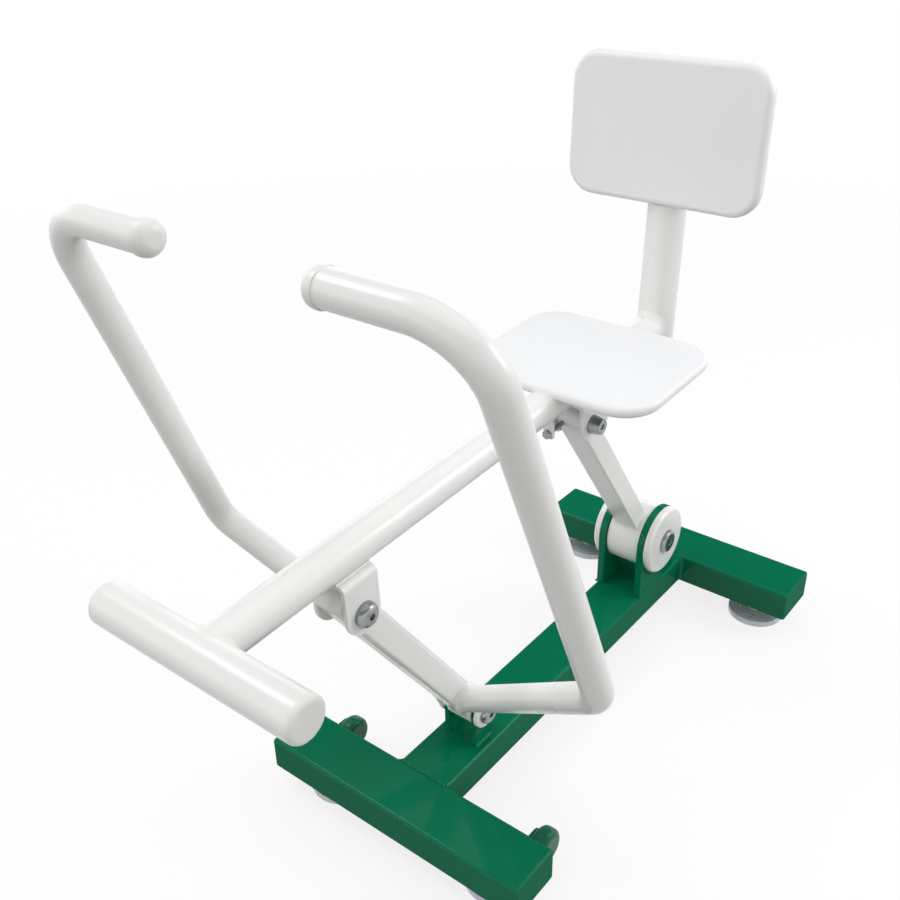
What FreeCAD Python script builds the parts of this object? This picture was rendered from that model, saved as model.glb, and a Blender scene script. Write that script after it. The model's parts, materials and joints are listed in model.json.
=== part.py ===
import FreeCAD, Part
import math
import os
import re

import Sketcher
from FreeCAD import Placement, Rotation, Vector

# Every driving size in millimetres, or degrees for the leans.
SIZES = {
    # base frame
    "foot_height": 38.0,
    "beam_height": 56.0,
    "beam_wall": 3.0,
    "beam_corner": 6.0,
    "end_plate_thickness": 6.0,
    "end_plate_round": 4.5,
    "front_beam_length": 455.0,
    "front_beam_depth": 88.0,
    "front_beam_ahead": 149.9,
    "rear_beam_length": 508.0,
    "rear_beam_depth": 98.0,
    "rear_beam_behind": 148.4,
    "spine_width": 89.0,
    # pivots and links
    "pivot_span": 510.0,
    "front_pivot_rise": 57.8,
    "rear_pivot_rise": 96.1,
    "link_length": 400.0,
    "link_lean": 35.46,
    "link_travel": 34.0,
    "pivot_bolt_dia": 16.0,
    "running_gap": 0.05,
    "side_gap": 0.5,
    "socket_width": 5.0,
    "socket_depth": 5.0,
    # front pivot
    "front_barrel_dia": 46.0,
    "front_barrel_bore": 32.0,
    "front_barrel_length": 42.0,
    "ear_radius": 19.0,
    "ear_thickness": 8.0,
    "front_ring_dia": 50.0,
    "front_ring_thickness": 7.0,
    "front_head_dia": 32.0,
    "front_head_height": 9.0,
    "nut_width": 13.5,
    "nut_height": 12.0,
    "nut_dome_dia": 22.0,
    "nut_dome_height": 8.0,
    # rear pivot
    "rear_barrel_dia": 114.0,
    "rear_barrel_bore": 80.0,
    "rear_barrel_length": 62.0,
    "rear_axle_dia": 40.0,
    "rear_bearing_width": 18.0,
    "cheek_radius": 61.5,
    "cheek_thickness": 13.0,
    "rear_disc_dia": 123.0,
    "rear_disc_thickness": 12.5,
    "rear_disc_bevel": 4.0,
    "rear_head_dia": 42.0,
    "rear_head_height": 8.0,
    "rear_bolt_grip": 24.0,
    # transport wheels
    "wheel_dia": 54.0,
    "wheel_width": 26.0,
    "wheel_round": 9.5,
    "wheel_cover": 6.0,
    "wheel_behind": 41.0,
    "wheel_spread": 185.0,
    "wheel_height": 34.0,
    "wheel_lug_radius": 16.0,
    "wheel_lug_thickness": 6.0,
    "wheel_axle_dia": 10.0,
    # levelling feet
    "front_foot_spread": 150.0,
    "front_foot_back": 24.0,
    "rear_foot_spread": 183.0,
    "pad_dia": 100.0,
    "pad_rim": 11.0,
    "pad_slope": 3.0,
    "pad_boss_dia": 34.0,
    "pad_socket_floor": 8.0,
    "stud_dia": 16.0,
    "stud_above_nut": 18.0,
    "foot_nut_width": 14.0,
    "foot_nut_height": 12.0,
    "foot_gap": 0.3,
    # lever and handles
    "lever_width": 42.0,
    "lever_depth": 42.0,
    "lever_corner": 7.0,
    "lever_wall": 3.0,
    "lever_past": 40.0,
    "lever_plug": 5.0,
    "lever_plug_spigot": 12.0,
    "lever_sleeve_dia": 26.0,
    "lever_sleeve_bore": 20.0,
    "arm_joint": 46.0,
    "handle_rake": 22.96,
    "handle_dia": 38.0,
    "handle_wall": 2.5,
    "elbow_rise": 291.5,
    "elbow_ahead": 22.5,
    "elbow_spread": 312.0,
    "elbow_radius": 50.0,
    "grip_rise": 818.9,
    "grip_spread": 289.0,
    "grip_radius": 75.0,
    "grip_end": 124.0,
    "grip_cap_dia": 41.0,
    "grip_cap_length": 18.0,
    "grip_cap_round": 14.0,
    "grip_spigot": 15.0,
    # rear rocker
    "rocker_width": 44.0,
    "rocker_depth": 36.0,
    "rocker_corner": 2.5,
    "rocker_wall": 3.0,
    "rocker_eye_bore": 22.0,
    # seat carriage
    "carriage_pitch": 2.7,
    "front_drop": 76.6,
    "main_tube_dia": 50.0,
    "main_tube_wall": 3.0,
    "footrest_reach": 214.4,
    "footrest_dia": 54.0,
    "footrest_wall": 3.0,
    "footrest_length": 300.0,
    "footrest_cap": 9.0,
    "footrest_cap_round": 7.0,
    "footrest_spigot": 12.0,
    "bracket_thickness": 6.0,
    "bracket_bend": 9.0,
    "bracket_sink": 3.0,
    "bracket_gap": 1.0,
    "bush_gap": 0.3,
    "front_bracket_half": 29.0,
    "front_link_head_dia": 34.0,
    "front_link_head_height": 13.0,
    "seat_bracket_front": 27.0,
    "seat_bracket_rear": 46.0,
    "seat_link_head_dia": 30.0,
    "seat_link_head_tip": 24.0,
    "seat_link_head_height": 19.0,
    "stop_bolt_dia": 8.0,
    "stop_bolt_drop": 2.0,
    "stop_head_width": 7.5,
    "stop_head_height": 5.5,
    "stop_tab_ahead": 52.0,
    "stop_tab_width": 16.0,
    "stop_tab_aside": 12.0,
    "stop_tab_thickness": 6.0,
    "stop_gap": 0.35,
    "buffer_dia": 14.0,
    "buffer_below": 20.0,
    # seat and back
    "seat_ahead": 90.0,
    "seat_depth": 244.0,
    "seat_width": 313.0,
    "seat_thickness": 18.0,
    "seat_corner": 58.0,
    "seat_edge": 8.0,
    "seat_sink": 11.0,
    "wing_length": 150.0,
    "wing_reach": 95.0,
    "wing_thickness": 6.0,
    "wing_corner": 12.0,
    "screw_dia": 8.0,
    "screw_grip": 11.0,
    "screw_head_dia": 14.0,
    "screw_head_height": 5.0,
    "seat_screw_spacing": 110.0,
    "seat_screw_spread": 75.0,
    "post_gap": 86.0,
    "post_lean": 5.2,
    "post_dia": 60.0,
    "post_wall": 3.0,
    "post_below": 34.0,
    "post_height": 372.0,
    "post_flat": 19.0,
    "post_cap": 6.0,
    "post_cap_spigot": 12.0,
    "post_cap_round": 4.0,
    "back_rise": 203.0,
    "back_height": 216.0,
    "back_width": 321.0,
    "back_thickness": 24.0,
    "back_corner": 44.0,
    "back_edge": 10.0,
    "back_relief": 1.5,
    "mount_width": 130.0,
    "mount_height": 180.0,
    "mount_thickness": 6.0,
    "mount_corner": 12.0,
    "back_screw_spacing": 90.0,
    "back_screw_spread": 48.0,
}

ALONG_Y = Rotation(Vector(1, 0, 0), -90)
AGAINST_Y = Rotation(Vector(1, 0, 0), 90)
ALONG_X = Rotation(Vector(0, 1, 0), 90)
OVERSHOOT = 2.0

doc = FreeCAD.newDocument("rowing_station")


def make_sheet():
    """Writes the driving sizes into a sheet, one named cell each."""
    sheet = doc.addObject("Spreadsheet::Sheet", "sizes")
    for row, (alias, value) in enumerate(SIZES.items(), start=1):
        sheet.set(f"A{row}", alias)
        sheet.set(f"B{row}", str(value))
        sheet.setAlias(f"B{row}", alias)
    doc.recompute()
    return sheet


class Dimensions:
    """Reads the sizes back from the sheet as plain numbers."""

    def __init__(self, sheet):
        self._sheet = sheet

    def __getattr__(self, alias):
        return float(self._sheet.get(alias))


dim = Dimensions(make_sheet())


def linked(text):
    """Turns size names in an expression into references to the sheet."""
    return re.sub(r"[a-z][a-z_]+", lambda word: "sizes." + word.group(0), text)


def bind(obj, **expressions):
    """Ties properties to expressions in the sizes; a double underscore stands for a dot."""
    for prop, text in expressions.items():
        obj.setExpression(prop.replace("__", "."), linked(text))
    return obj


def spot(x=0.0, y=0.0, z=0.0, rotation=None):
    return Placement(Vector(x, y, z), rotation or Rotation())


def tilted(degrees):
    """Rotation that leans the Z axis forward by an angle."""
    return Rotation(Vector(0, 1, 0), degrees)


def cylinder(name, radius, height, place=None):
    obj = doc.addObject("Part::Cylinder", name)
    bind(obj, Radius=radius, Height=height)
    obj.Placement = place or Placement()
    return obj


def cross_pin(name, radius, length, x=0.0, z=0.0):
    """Cylinder along Y, centred on the Y = 0 plane."""
    obj = cylinder(name, radius, length, spot(x, 0, z, ALONG_Y))
    return bind(obj, Placement__Base__y=f"-({length}) / 2")


def box(name, length, width, height, x="0", y="0", z="0"):
    obj = doc.addObject("Part::Box", name)
    bind(obj, Length=length, Width=width, Height=height)
    return bind(obj, Placement__Base__x=x, Placement__Base__y=y, Placement__Base__z=z)


def cut(name, base, *tools):
    for number, tool in enumerate(tools, start=1):
        last = number == len(tools)
        obj = doc.addObject("Part::Cut", name if last else f"{name}_step_{number}")
        obj.Base = base
        obj.Tool = tool
        base = obj
    return base


def fuse(name, *shapes):
    obj = doc.addObject("Part::MultiFuse", name)
    obj.Shapes = list(shapes)
    return obj


def common(name, *shapes):
    obj = doc.addObject("Part::MultiCommon", name)
    obj.Shapes = list(shapes)
    return obj


def group(name, *shapes):
    obj = doc.addObject("Part::Compound", name)
    obj.Links = list(shapes)
    return obj


def mirrored(name, source):
    obj = doc.addObject("Part::Mirroring", name)
    obj.Source = source
    obj.Normal = Vector(0, 1, 0)
    return obj


def pair(name, source):
    """A piece and its mirror image across Y = 0, as two separate solids."""
    return group(name, source, mirrored(name + "_mirror", source))


def placed(obj, place):
    obj.Placement = place
    return obj


def edges_where(shape, test):
    return [number for number, edge in enumerate(shape.Edges, start=1) if test(edge)]


def runs_along(axis):
    """Test for straight edges parallel to an axis."""
    def test(edge):
        return edge.Curve.TypeId == "Part::GeomLine" and abs(edge.Curve.Direction.dot(axis)) > 0.999
    return test


def circle_at(height):
    """Test for full circles at a height along Z."""
    def test(edge):
        return edge.Curve.TypeId == "Part::GeomCircle" and abs(edge.Curve.Center.z - height) < 1e-6
    return test


def lies_at(height):
    """Test for edges that lie flat at a height along Z."""
    def test(edge):
        return abs(edge.BoundBox.ZMin - height) < 1e-6
    return test


def runs_round(edge):
    """Test for round edges."""
    return edge.Curve.TypeId == "Part::GeomCircle"


def rounded(name, base, radius, test):
    """Rounds the edges of a piece that pass a test."""
    doc.recompute()
    obj = doc.addObject("Part::Fillet", name)
    obj.Base = base
    obj.Edges = [(number, radius, radius) for number in edges_where(base.Shape, test)]
    return obj


def bar(name, depth, width, height, radius, z="0"):
    """Solid bar along Z with rounded long edges, centred on the Z axis."""
    block = box(name + "_block", depth, width, height, f"-({depth}) / 2", f"-({width}) / 2", z)
    return rounded(name, block, radius, runs_along(Vector(0, 0, 1)))


def hollow_bar(name, depth, width, height, wall, radius, z="0"):
    outer = bar(name + "_outer", depth, width, height, radius, z)
    inside = f"2 * {wall}"
    inner_radius = max(radius - getattr(dim, wall), 0.5)
    inner = bar(name + "_inner", f"{depth} - {inside}", f"{width} - {inside}", height, inner_radius, z)
    return cut(name, outer, inner)


def sleeve(name, outer, inner, length, x=0.0, z=0.0):
    """Tube along Y, centred on the Y = 0 plane."""
    return cut(
        name,
        cross_pin(name + "_outer", outer, length, x, z),
        cross_pin(name + "_bore", inner, f"{length} + 2", x, z),
    )


def domed(name, radius, height, round_radius):
    """Short cylinder on Z with its upper edge rounded over."""
    doc.recompute()
    body = cylinder(name + "_blank", radius, height)
    doc.recompute()
    return rounded(name, body, round_radius, circle_at(body.Height.Value))


def hexagon(name, circumradius, height):
    obj = doc.addObject("Part::Prism", name)
    return bind(obj, Circumradius=circumradius, Height=height)


def bolt(name, dia, length, head, socket=True):
    """Bolt with its head above Z = 0 and its shank below."""
    shank = bind(cylinder(name + "_shank", f"{dia} / 2", length), Placement__Base__z=f"-({length})")
    solid = fuse(name + "_solid", head, shank)
    if not socket:
        return solid
    key = hexagon(name + "_key", "socket_width", f"socket_depth + {OVERSHOOT}")
    doc.recompute()
    top = head.Shape.BoundBox.ZMax
    key.Placement = spot(z=top - dim.socket_depth)
    return cut(name + "_socketed", solid, key)


def hex_nut(name, width, height, dia):
    return cut(
        name,
        hexagon(name + "_hex", width, height),
        cylinder(name + "_thread", f"{dia} / 2 + running_gap", height),
    )


def cap_nut(name):
    """Domed nut that closes over the end of a pivot bolt."""
    dome = domed(name + "_dome", "nut_dome_dia / 2", "nut_height + nut_dome_height", dim.nut_dome_height)
    solid = fuse(name + "_solid", hexagon(name + "_hex", "nut_width", "nut_height"), dome)
    return cut(name, solid, cylinder(name + "_thread", "pivot_bolt_dia / 2", "nut_height"))


def lug(name, radius, thickness, reach, bore):
    """Plate across Y with a round end at the origin and a foot at Z = -reach."""
    foot = box(name + "_foot", f"2 * {radius}", thickness, reach, f"-{radius}", "0", f"-({reach})")
    eye = cylinder(name + "_eye", radius, thickness, spot(rotation=ALONG_Y))
    hole = cylinder(name + "_hole", bore, f"{thickness} + 2", spot(y=-1, rotation=ALONG_Y))
    return cut(name, fuse(name + "_plate", foot, eye), hole)


def origin_plane(body, role):
    return next(item for item in body.Origin.OriginFeatures if item.Role == role)


def new_sketch(body, role):
    sketch = body.newObject("Sketcher::SketchObject", body.Name + "_sketch")
    sketch.AttachmentSupport = [(origin_plane(body, role), "")]
    sketch.MapMode = "FlatFace"
    return sketch


def fix_coordinate(sketch, kind, axis, point, value, text):
    """Holds one coordinate of a sketch point on its axis or at a sheet size."""
    if abs(value) < 1e-9:
        sketch.addConstraint(Sketcher.Constraint("PointOnObject", point, 1, axis))
        return
    index = sketch.addConstraint(Sketcher.Constraint(kind, -1, 1, point, 1, value))
    sketch.setExpression(f"Constraints[{index}]", linked(text))


def amount(text):
    """Value of an expression in the driving sizes."""
    return float(doc.sizes.evalExpression(text))


def polygon(sketch, points):
    """Closed outline through points given as pairs of size expressions."""
    values = [Vector(amount(x), amount(y), 0) for x, y in points]
    count = len(points)
    for index in range(count):
        sketch.addGeometry(Part.LineSegment(values[index], values[(index + 1) % count]))
    for index in range(count):
        sketch.addConstraint(Sketcher.Constraint("Coincident", index, 2, (index + 1) % count, 1))
    for index, (x, y) in enumerate(points):
        fix_coordinate(sketch, "DistanceX", -2, index, values[index].x, x)
        fix_coordinate(sketch, "DistanceY", -1, index, values[index].y, y)


def turned(name, points):
    """Body turned about Z from an outline of radius and height pairs."""
    body = doc.addObject("PartDesign::Body", name)
    sketch = new_sketch(body, "XZ_Plane")
    polygon(sketch, points)
    turn = body.newObject("PartDesign::Revolution", name + "_turn")
    turn.Profile = sketch
    turn.ReferenceAxis = (sketch, ["V_Axis"])
    turn.Angle = 360.0
    return body


def plate(name, length, width, thickness, corner, edge=None):
    """Flat body from a corner at the origin, with rounded corners and edges."""
    body = doc.addObject("PartDesign::Body", name)
    sketch = new_sketch(body, "XY_Plane")
    polygon(sketch, [("0", "0"), (length, "0"), (length, width), ("0", width)])
    pad = body.newObject("PartDesign::Pad", name + "_pad")
    pad.Profile = sketch
    bind(pad, Length=thickness)
    doc.recompute()
    tip = soften(body, pad, "corners", corner, runs_along(Vector(0, 0, 1)))
    if edge:
        soften(body, tip, "edges", edge, lambda item: not runs_along(Vector(0, 0, 1))(item))
    return body


def soften(body, feature, suffix, radius, test):
    fillet = body.newObject("PartDesign::Fillet", f"{body.Name}_{suffix}")
    fillet.Base = (feature, [f"Edge{number}" for number in edges_where(feature.Shape, test)])
    bind(fillet, Radius=radius)
    doc.recompute()
    return fillet


class Layout:
    """Positions worked out from the sizes: pivots, frames and the centring shift."""

    def __init__(self):
        self.beam_top = dim.foot_height + dim.beam_height
        front_z = self.beam_top + dim.front_pivot_rise
        rear_z = self.beam_top + dim.rear_pivot_rise
        lean = math.radians(dim.link_lean)
        reach = Vector(dim.link_length * math.sin(lean), 0, dim.link_length * math.cos(lean))
        pitch = tilted(dim.carriage_pitch)
        footrest = Vector(0, 0, front_z) + reach
        footrest += pitch.multVec(Vector(dim.footrest_reach, 0, dim.front_drop))
        front_end = footrest.x + dim.footrest_dia / 2
        rear_half = max(dim.rear_beam_depth, dim.pad_dia) / 2
        rear_end = -dim.pivot_span - dim.rear_beam_behind - rear_half
        shift = -(front_end + rear_end) / 2
        self.front_pivot = Vector(shift, 0, front_z)
        self.rear_pivot = Vector(shift - dim.pivot_span, 0, rear_z)
        self.front_link = self.front_pivot + reach
        self.rear_link = self.rear_pivot + reach
        self.front_beam = shift + dim.front_beam_ahead
        self.front_feet = self.front_beam - dim.front_foot_back
        self.rear_beam = shift - dim.pivot_span - dim.rear_beam_behind
        self.lever = Placement(self.front_pivot, tilted(dim.link_lean))
        self.rocker = Placement(self.rear_pivot, tilted(dim.link_lean))
        joint = self.lever.multVec(Vector(0, 0, dim.arm_joint))
        self.handle = Placement(joint, tilted(dim.handle_rake))
        self.carriage = Placement(self.front_link, pitch)
        self.rear_in_carriage = self.carriage.inverse().multVec(self.rear_link)
        self.tube_bottom = dim.front_drop - dim.main_tube_dia / 2
        self.tube_top = dim.front_drop + dim.main_tube_dia / 2
        self.seat_front = self.rear_in_carriage.x + dim.seat_ahead
        self.post_x = self.seat_front - dim.seat_depth - dim.post_gap
        post_foot = spot(self.post_x, 0, dim.front_drop, tilted(-dim.post_lean))
        self.post_local = post_foot
        self.post = self.carriage.multiply(post_foot)


layout = Layout()
nodes = []


def keep(obj, name):
    """Marks a finished piece as a node under its own name."""
    obj.Label = name
    nodes.append(obj)
    return obj


def local_pair(name, source, frame):
    """Mirrored pair of a piece that is placed in a frame on the Y = 0 plane."""
    source.Placement = frame.multiply(source.Placement)
    return keep(pair(name + "_pair", source), name)


def build_crossbeam(side, x, foot_x):
    """Crossbeam along Y, drilled for its feet, with a plate welded on each end."""
    depth = f"{side}_beam_depth"
    length = f"{side}_beam_length - 2 * end_plate_thickness"
    half = amount(length) / 2
    middle = dim.foot_height + dim.beam_height / 2
    tube = hollow_bar(f"{side}_beam", depth, "beam_height", length, "beam_wall", dim.beam_corner)
    spread = amount(f"{side}_foot_spread")
    holes = [
        cylinder(
            f"{side}_hole_{tag}", "stud_dia / 2 + running_gap", "beam_height",
            spot(foot_x - x, 0, z, ALONG_Y))
        for tag, z in (("right", half - spread), ("left", half + spread))
    ]
    beam = cut(f"{side}_beam_drilled", tube, *holes)
    keep(placed(beam, spot(x, -half, middle, ALONG_Y)), f"{side}_crossbeam")
    blank = bar(f"{side}_end_blank", depth, "beam_height", "end_plate_thickness", dim.beam_corner)
    end = rounded(f"{side}_end_plate", blank, dim.end_plate_round, lies_at(dim.end_plate_thickness))
    end.Placement = spot(x, half, middle, ALONG_Y)
    keep(pair(f"{side}_end_pair", end), f"{side}_beam_end_plates")


def build_frame():
    """Crossbeams and the spine between them."""
    build_crossbeam("front", layout.front_beam, layout.front_feet)
    build_crossbeam("rear", layout.rear_beam, layout.rear_beam)
    length = (
        "front_beam_ahead - front_beam_depth / 2 + pivot_span"
        " + rear_beam_behind - rear_beam_depth / 2"
    )
    spine = hollow_bar("spine", "beam_height", "spine_width", length, "beam_wall", dim.beam_corner)
    rear_face = layout.rear_beam + dim.rear_beam_depth / 2
    middle = dim.foot_height + dim.beam_height / 2
    keep(placed(spine, spot(rear_face, 0, middle, ALONG_X)), "spine_beam")


def build_front_pivot():
    """Ears, rings, bolt and nut of the lever's pivot on the base."""
    at = layout.front_pivot
    inner = dim.front_barrel_length / 2 + dim.side_gap
    outer = inner + dim.ear_thickness
    head_face = outer + dim.front_ring_thickness
    ear = lug("ear", "ear_radius", "ear_thickness", "front_pivot_rise", "pivot_bolt_dia / 2 + running_gap")
    ear.Placement = spot(at.x, inner, at.z)
    keep(pair("ear_pair", ear), "front_pivot_ears")
    ring = turned("front_ring", [
        ("pivot_bolt_dia / 2 + running_gap", "0"),
        ("front_ring_dia / 2", "0"),
        ("front_ring_dia / 2", "front_ring_thickness - 1.5"),
        ("front_ring_dia / 2 - 1.5", "front_ring_thickness"),
        ("pivot_bolt_dia / 2 + running_gap", "front_ring_thickness"),
    ])
    ring.Placement = spot(at.x, outer, at.z, ALONG_Y)
    keep(pair("front_ring_pair", ring), "front_pivot_rings")
    head = domed("front_head", "front_head_dia / 2", "front_head_height", 0.7 * dim.front_head_height)
    grip = (
        "front_barrel_length + 2 * side_gap + 2 * ear_thickness"
        " + 2 * front_ring_thickness + nut_height"
    )
    pin = bolt("front_pin", "pivot_bolt_dia", grip, head)
    keep(placed(pin, spot(at.x, head_face, at.z, ALONG_Y)), "front_pivot_bolt")
    nut = cap_nut("front_nut")
    keep(placed(nut, spot(at.x, -head_face, at.z, AGAINST_Y)), "front_pivot_nut")


def build_rear_pivot():
    """Cheeks, axle, cover discs and bolts of the rocker's pivot on the base."""
    at = layout.rear_pivot
    inner = dim.rear_barrel_length / 2 + dim.side_gap
    outer = inner + dim.cheek_thickness
    cheek = lug(
        "cheek", "cheek_radius", "cheek_thickness", "rear_pivot_rise", "rear_axle_dia / 2 + running_gap")
    cheek.Placement = spot(at.x, inner, at.z)
    keep(pair("cheek_pair", cheek), "rear_pivot_cheeks")
    length = "rear_barrel_length + 2 * side_gap + 2 * cheek_thickness"
    axle = cross_pin("axle", "rear_axle_dia / 2", length)
    threads = []
    for tag, sign in (("left", 1), ("right", -1)):
        thread = cross_pin(f"axle_thread_{tag}", "pivot_bolt_dia / 2", "2 * rear_bolt_grip")
        bind(thread, Placement__Base__y=f"{sign} * ({length}) / 2 - rear_bolt_grip")
        threads.append(thread)
    keep(placed(cut("axle_tapped", axle, *threads), spot(at.x, 0, at.z)), "rear_pivot_axle")
    disc = turned("rear_disc", [
        ("pivot_bolt_dia / 2 + running_gap", "0"),
        ("rear_disc_dia / 2", "0"),
        ("rear_disc_dia / 2", "rear_disc_thickness - rear_disc_bevel"),
        ("rear_disc_dia / 2 - rear_disc_bevel", "rear_disc_thickness"),
        ("pivot_bolt_dia / 2 + running_gap", "rear_disc_thickness"),
    ])
    disc.Placement = spot(at.x, outer, at.z, ALONG_Y)
    keep(pair("rear_disc_pair", disc), "rear_pivot_discs")
    head = domed("rear_head", "rear_head_dia / 2", "rear_head_height", 0.7 * dim.rear_head_height)
    screw = bolt("rear_screw", "pivot_bolt_dia", "rear_disc_thickness + rear_bolt_grip", head)
    screw.Placement = spot(at.x, outer + dim.rear_disc_thickness, at.z, ALONG_Y)
    keep(pair("rear_screw_pair", screw), "rear_pivot_bolts")


def build_wheels():
    """Transport wheels behind the front crossbeam, each on a stub axle in its own lug."""
    x = layout.front_beam - dim.front_beam_depth / 2 - dim.wheel_behind
    z = dim.wheel_height
    bore = "wheel_axle_dia / 2 + running_gap"
    reach = "wheel_lug_thickness + wheel_width - wheel_cover"
    lugs = []
    axles = []
    for side, middle in (("left", dim.wheel_spread), ("right", -dim.wheel_spread)):
        face = middle - dim.wheel_width / 2
        lug_face = face - dim.side_gap - dim.wheel_lug_thickness
        blank = cylinder(f"wheel_{side}_blank", "wheel_dia / 2", "wheel_width")
        tyre = rounded(f"wheel_{side}_tyre", blank, dim.wheel_round, runs_round)
        hole = cylinder(f"wheel_{side}_hole", bore, "wheel_width - wheel_cover")
        wheel = cut(f"wheel_{side}_body", tyre, hole)
        keep(placed(wheel, spot(x, face, z, ALONG_Y)), f"wheel_{side}")
        holder = lug(
            f"wheel_lug_{side}", "wheel_lug_radius", "wheel_lug_thickness", "wheel_behind",
            "wheel_axle_dia / 2")
        lugs.append(placed(holder, spot(x, lug_face, z, tilted(-90))))
        place = spot(x, lug_face, z, ALONG_Y)
        axles.append(cylinder(f"wheel_axle_{side}", "wheel_axle_dia / 2", reach, place))
    keep(group("wheel_lug_group", *lugs), "wheel_brackets")
    keep(group("wheel_axle_group", *axles), "wheel_axles")


def build_feet():
    """Four levelling feet with their studs, lock nuts and weld nuts."""
    boss_top = "foot_height - foot_nut_height - foot_gap"
    outline = [
        ("0", "0"),
        ("pad_dia / 2", "0"),
        ("pad_dia / 2", "pad_rim"),
        ("pad_boss_dia / 2", "pad_rim + pad_slope"),
        ("pad_boss_dia / 2 - 4", boss_top),
        ("stud_dia / 2", boss_top),
        ("stud_dia / 2", "pad_socket_floor"),
        ("0", "pad_socket_floor"),
    ]
    stud_top = "foot_height + beam_wall + foot_nut_height + stud_above_nut"
    nuts = []
    for end, x in (("front", layout.front_feet), ("rear", layout.rear_beam)):
        spread = amount(f"{end}_foot_spread")
        for side, y in (("left", spread), ("right", -spread)):
            tag = f"{end}_{side}"
            pad = turned(f"pad_{tag}", outline)
            keep(placed(pad, spot(x, y)), f"foot_pad_{tag}")
            place = spot(x, y, dim.pad_socket_floor)
            stud = cylinder(f"stud_{tag}", "stud_dia / 2", f"{stud_top} - pad_socket_floor", place)
            keep(stud, f"foot_stud_{tag}")
            for use, z in (("lock", "foot_height - foot_nut_height"), ("weld", "foot_height + beam_wall")):
                nut = hex_nut(f"{use}_nut_{tag}", "foot_nut_width", "foot_nut_height", "stud_dia")
                nuts.append(placed(nut, spot(x, y, amount(z))))
    keep(group("foot_nut_group", *nuts), "foot_nuts")


def corner_arc(before, corner, after, radius):
    """Tangent arc that rounds a corner of a path: start, middle and end points."""
    towards = (before - corner).normalize()
    onward = (after - corner).normalize()
    half = towards.getAngle(onward) / 2
    setback = radius / math.tan(half)
    inward = (towards + onward).normalize()
    middle = corner + inward * (radius / math.sin(half) - radius)
    return corner + towards * setback, middle, corner + onward * setback


def bent_path(name, points, radii):
    """Wire of straight runs joined by tangent arcs."""
    edges = []
    last = points[0]
    for index, radius in enumerate(radii, start=1):
        start, middle, end = corner_arc(points[index - 1], points[index], points[index + 1], radius)
        edges.append(Part.LineSegment(last, start).toShape())
        edges.append(Part.Arc(start, middle, end).toShape())
        last = end
    edges.append(Part.LineSegment(last, points[-1]).toShape())
    obj = doc.addObject("Part::Feature", name)
    obj.Shape = Part.Wire(edges)
    return obj


def swept(name, path, radius, start, heading):
    """Round bar swept along a path."""
    ring = doc.addObject("Part::Circle", name + "_section")
    bind(ring, Radius=radius)
    ring.Placement = Placement(start, Rotation(Vector(0, 0, 1), heading))
    doc.recompute()
    obj = doc.addObject("Part::Sweep", name)
    obj.Sections = [ring]
    obj.Spine = (path, [f"Edge{number}" for number in range(1, len(path.Shape.Edges) + 1)])
    obj.Solid = True
    return obj


def build_handles():
    """Left and right bent handle tubes, welded to the lever's sides, with grip caps."""
    foot = Vector(0, dim.lever_width / 2, 0)
    elbow = Vector(dim.elbow_ahead, dim.elbow_spread, dim.elbow_rise)
    top = Vector(0, dim.grip_spread, dim.grip_rise)
    end = Vector(0, dim.grip_end, dim.grip_rise)
    heading = (elbow - foot).normalize()
    start = foot - heading * dim.handle_dia
    path = bent_path("handle_path", [start, elbow, top, end], [dim.elbow_radius, dim.grip_radius])
    outer = swept("handle_outer", path, "handle_dia / 2", start, heading)
    inner = swept("handle_inner", path, "handle_dia / 2 - handle_wall", start, heading)
    trim = box(
        "handle_trim", "4 * handle_dia", "4 * handle_dia", "6 * handle_dia",
        "-2 * handle_dia", "lever_width / 2 - 4 * handle_dia", "-3 * handle_dia")
    hub = layout.handle.inverse().multVec(layout.front_pivot)
    cope = cross_pin("handle_cope", "front_barrel_dia / 2", "front_barrel_length", hub.x, hub.z)
    left = cut("handle_left", outer, inner, trim, cope)
    keep(placed(left, layout.handle), "handle_tube_left")
    keep(mirrored("handle_right", left), "handle_tube_right")
    cap = domed("grip_cap", "grip_cap_dia / 2", "grip_cap_length", dim.grip_cap_round)
    spigot = cylinder("grip_spigot_bar", "handle_dia / 2 - handle_wall", "grip_spigot")
    bind(spigot, Placement__Base__z="-grip_spigot")
    plug = fuse("grip_plug", cap, spigot)
    plug.Placement = layout.handle.multiply(spot(y=dim.grip_end, z=dim.grip_rise, rotation=AGAINST_Y))
    keep(pair("grip_plug_pair", plug), "grip_caps")


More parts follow.
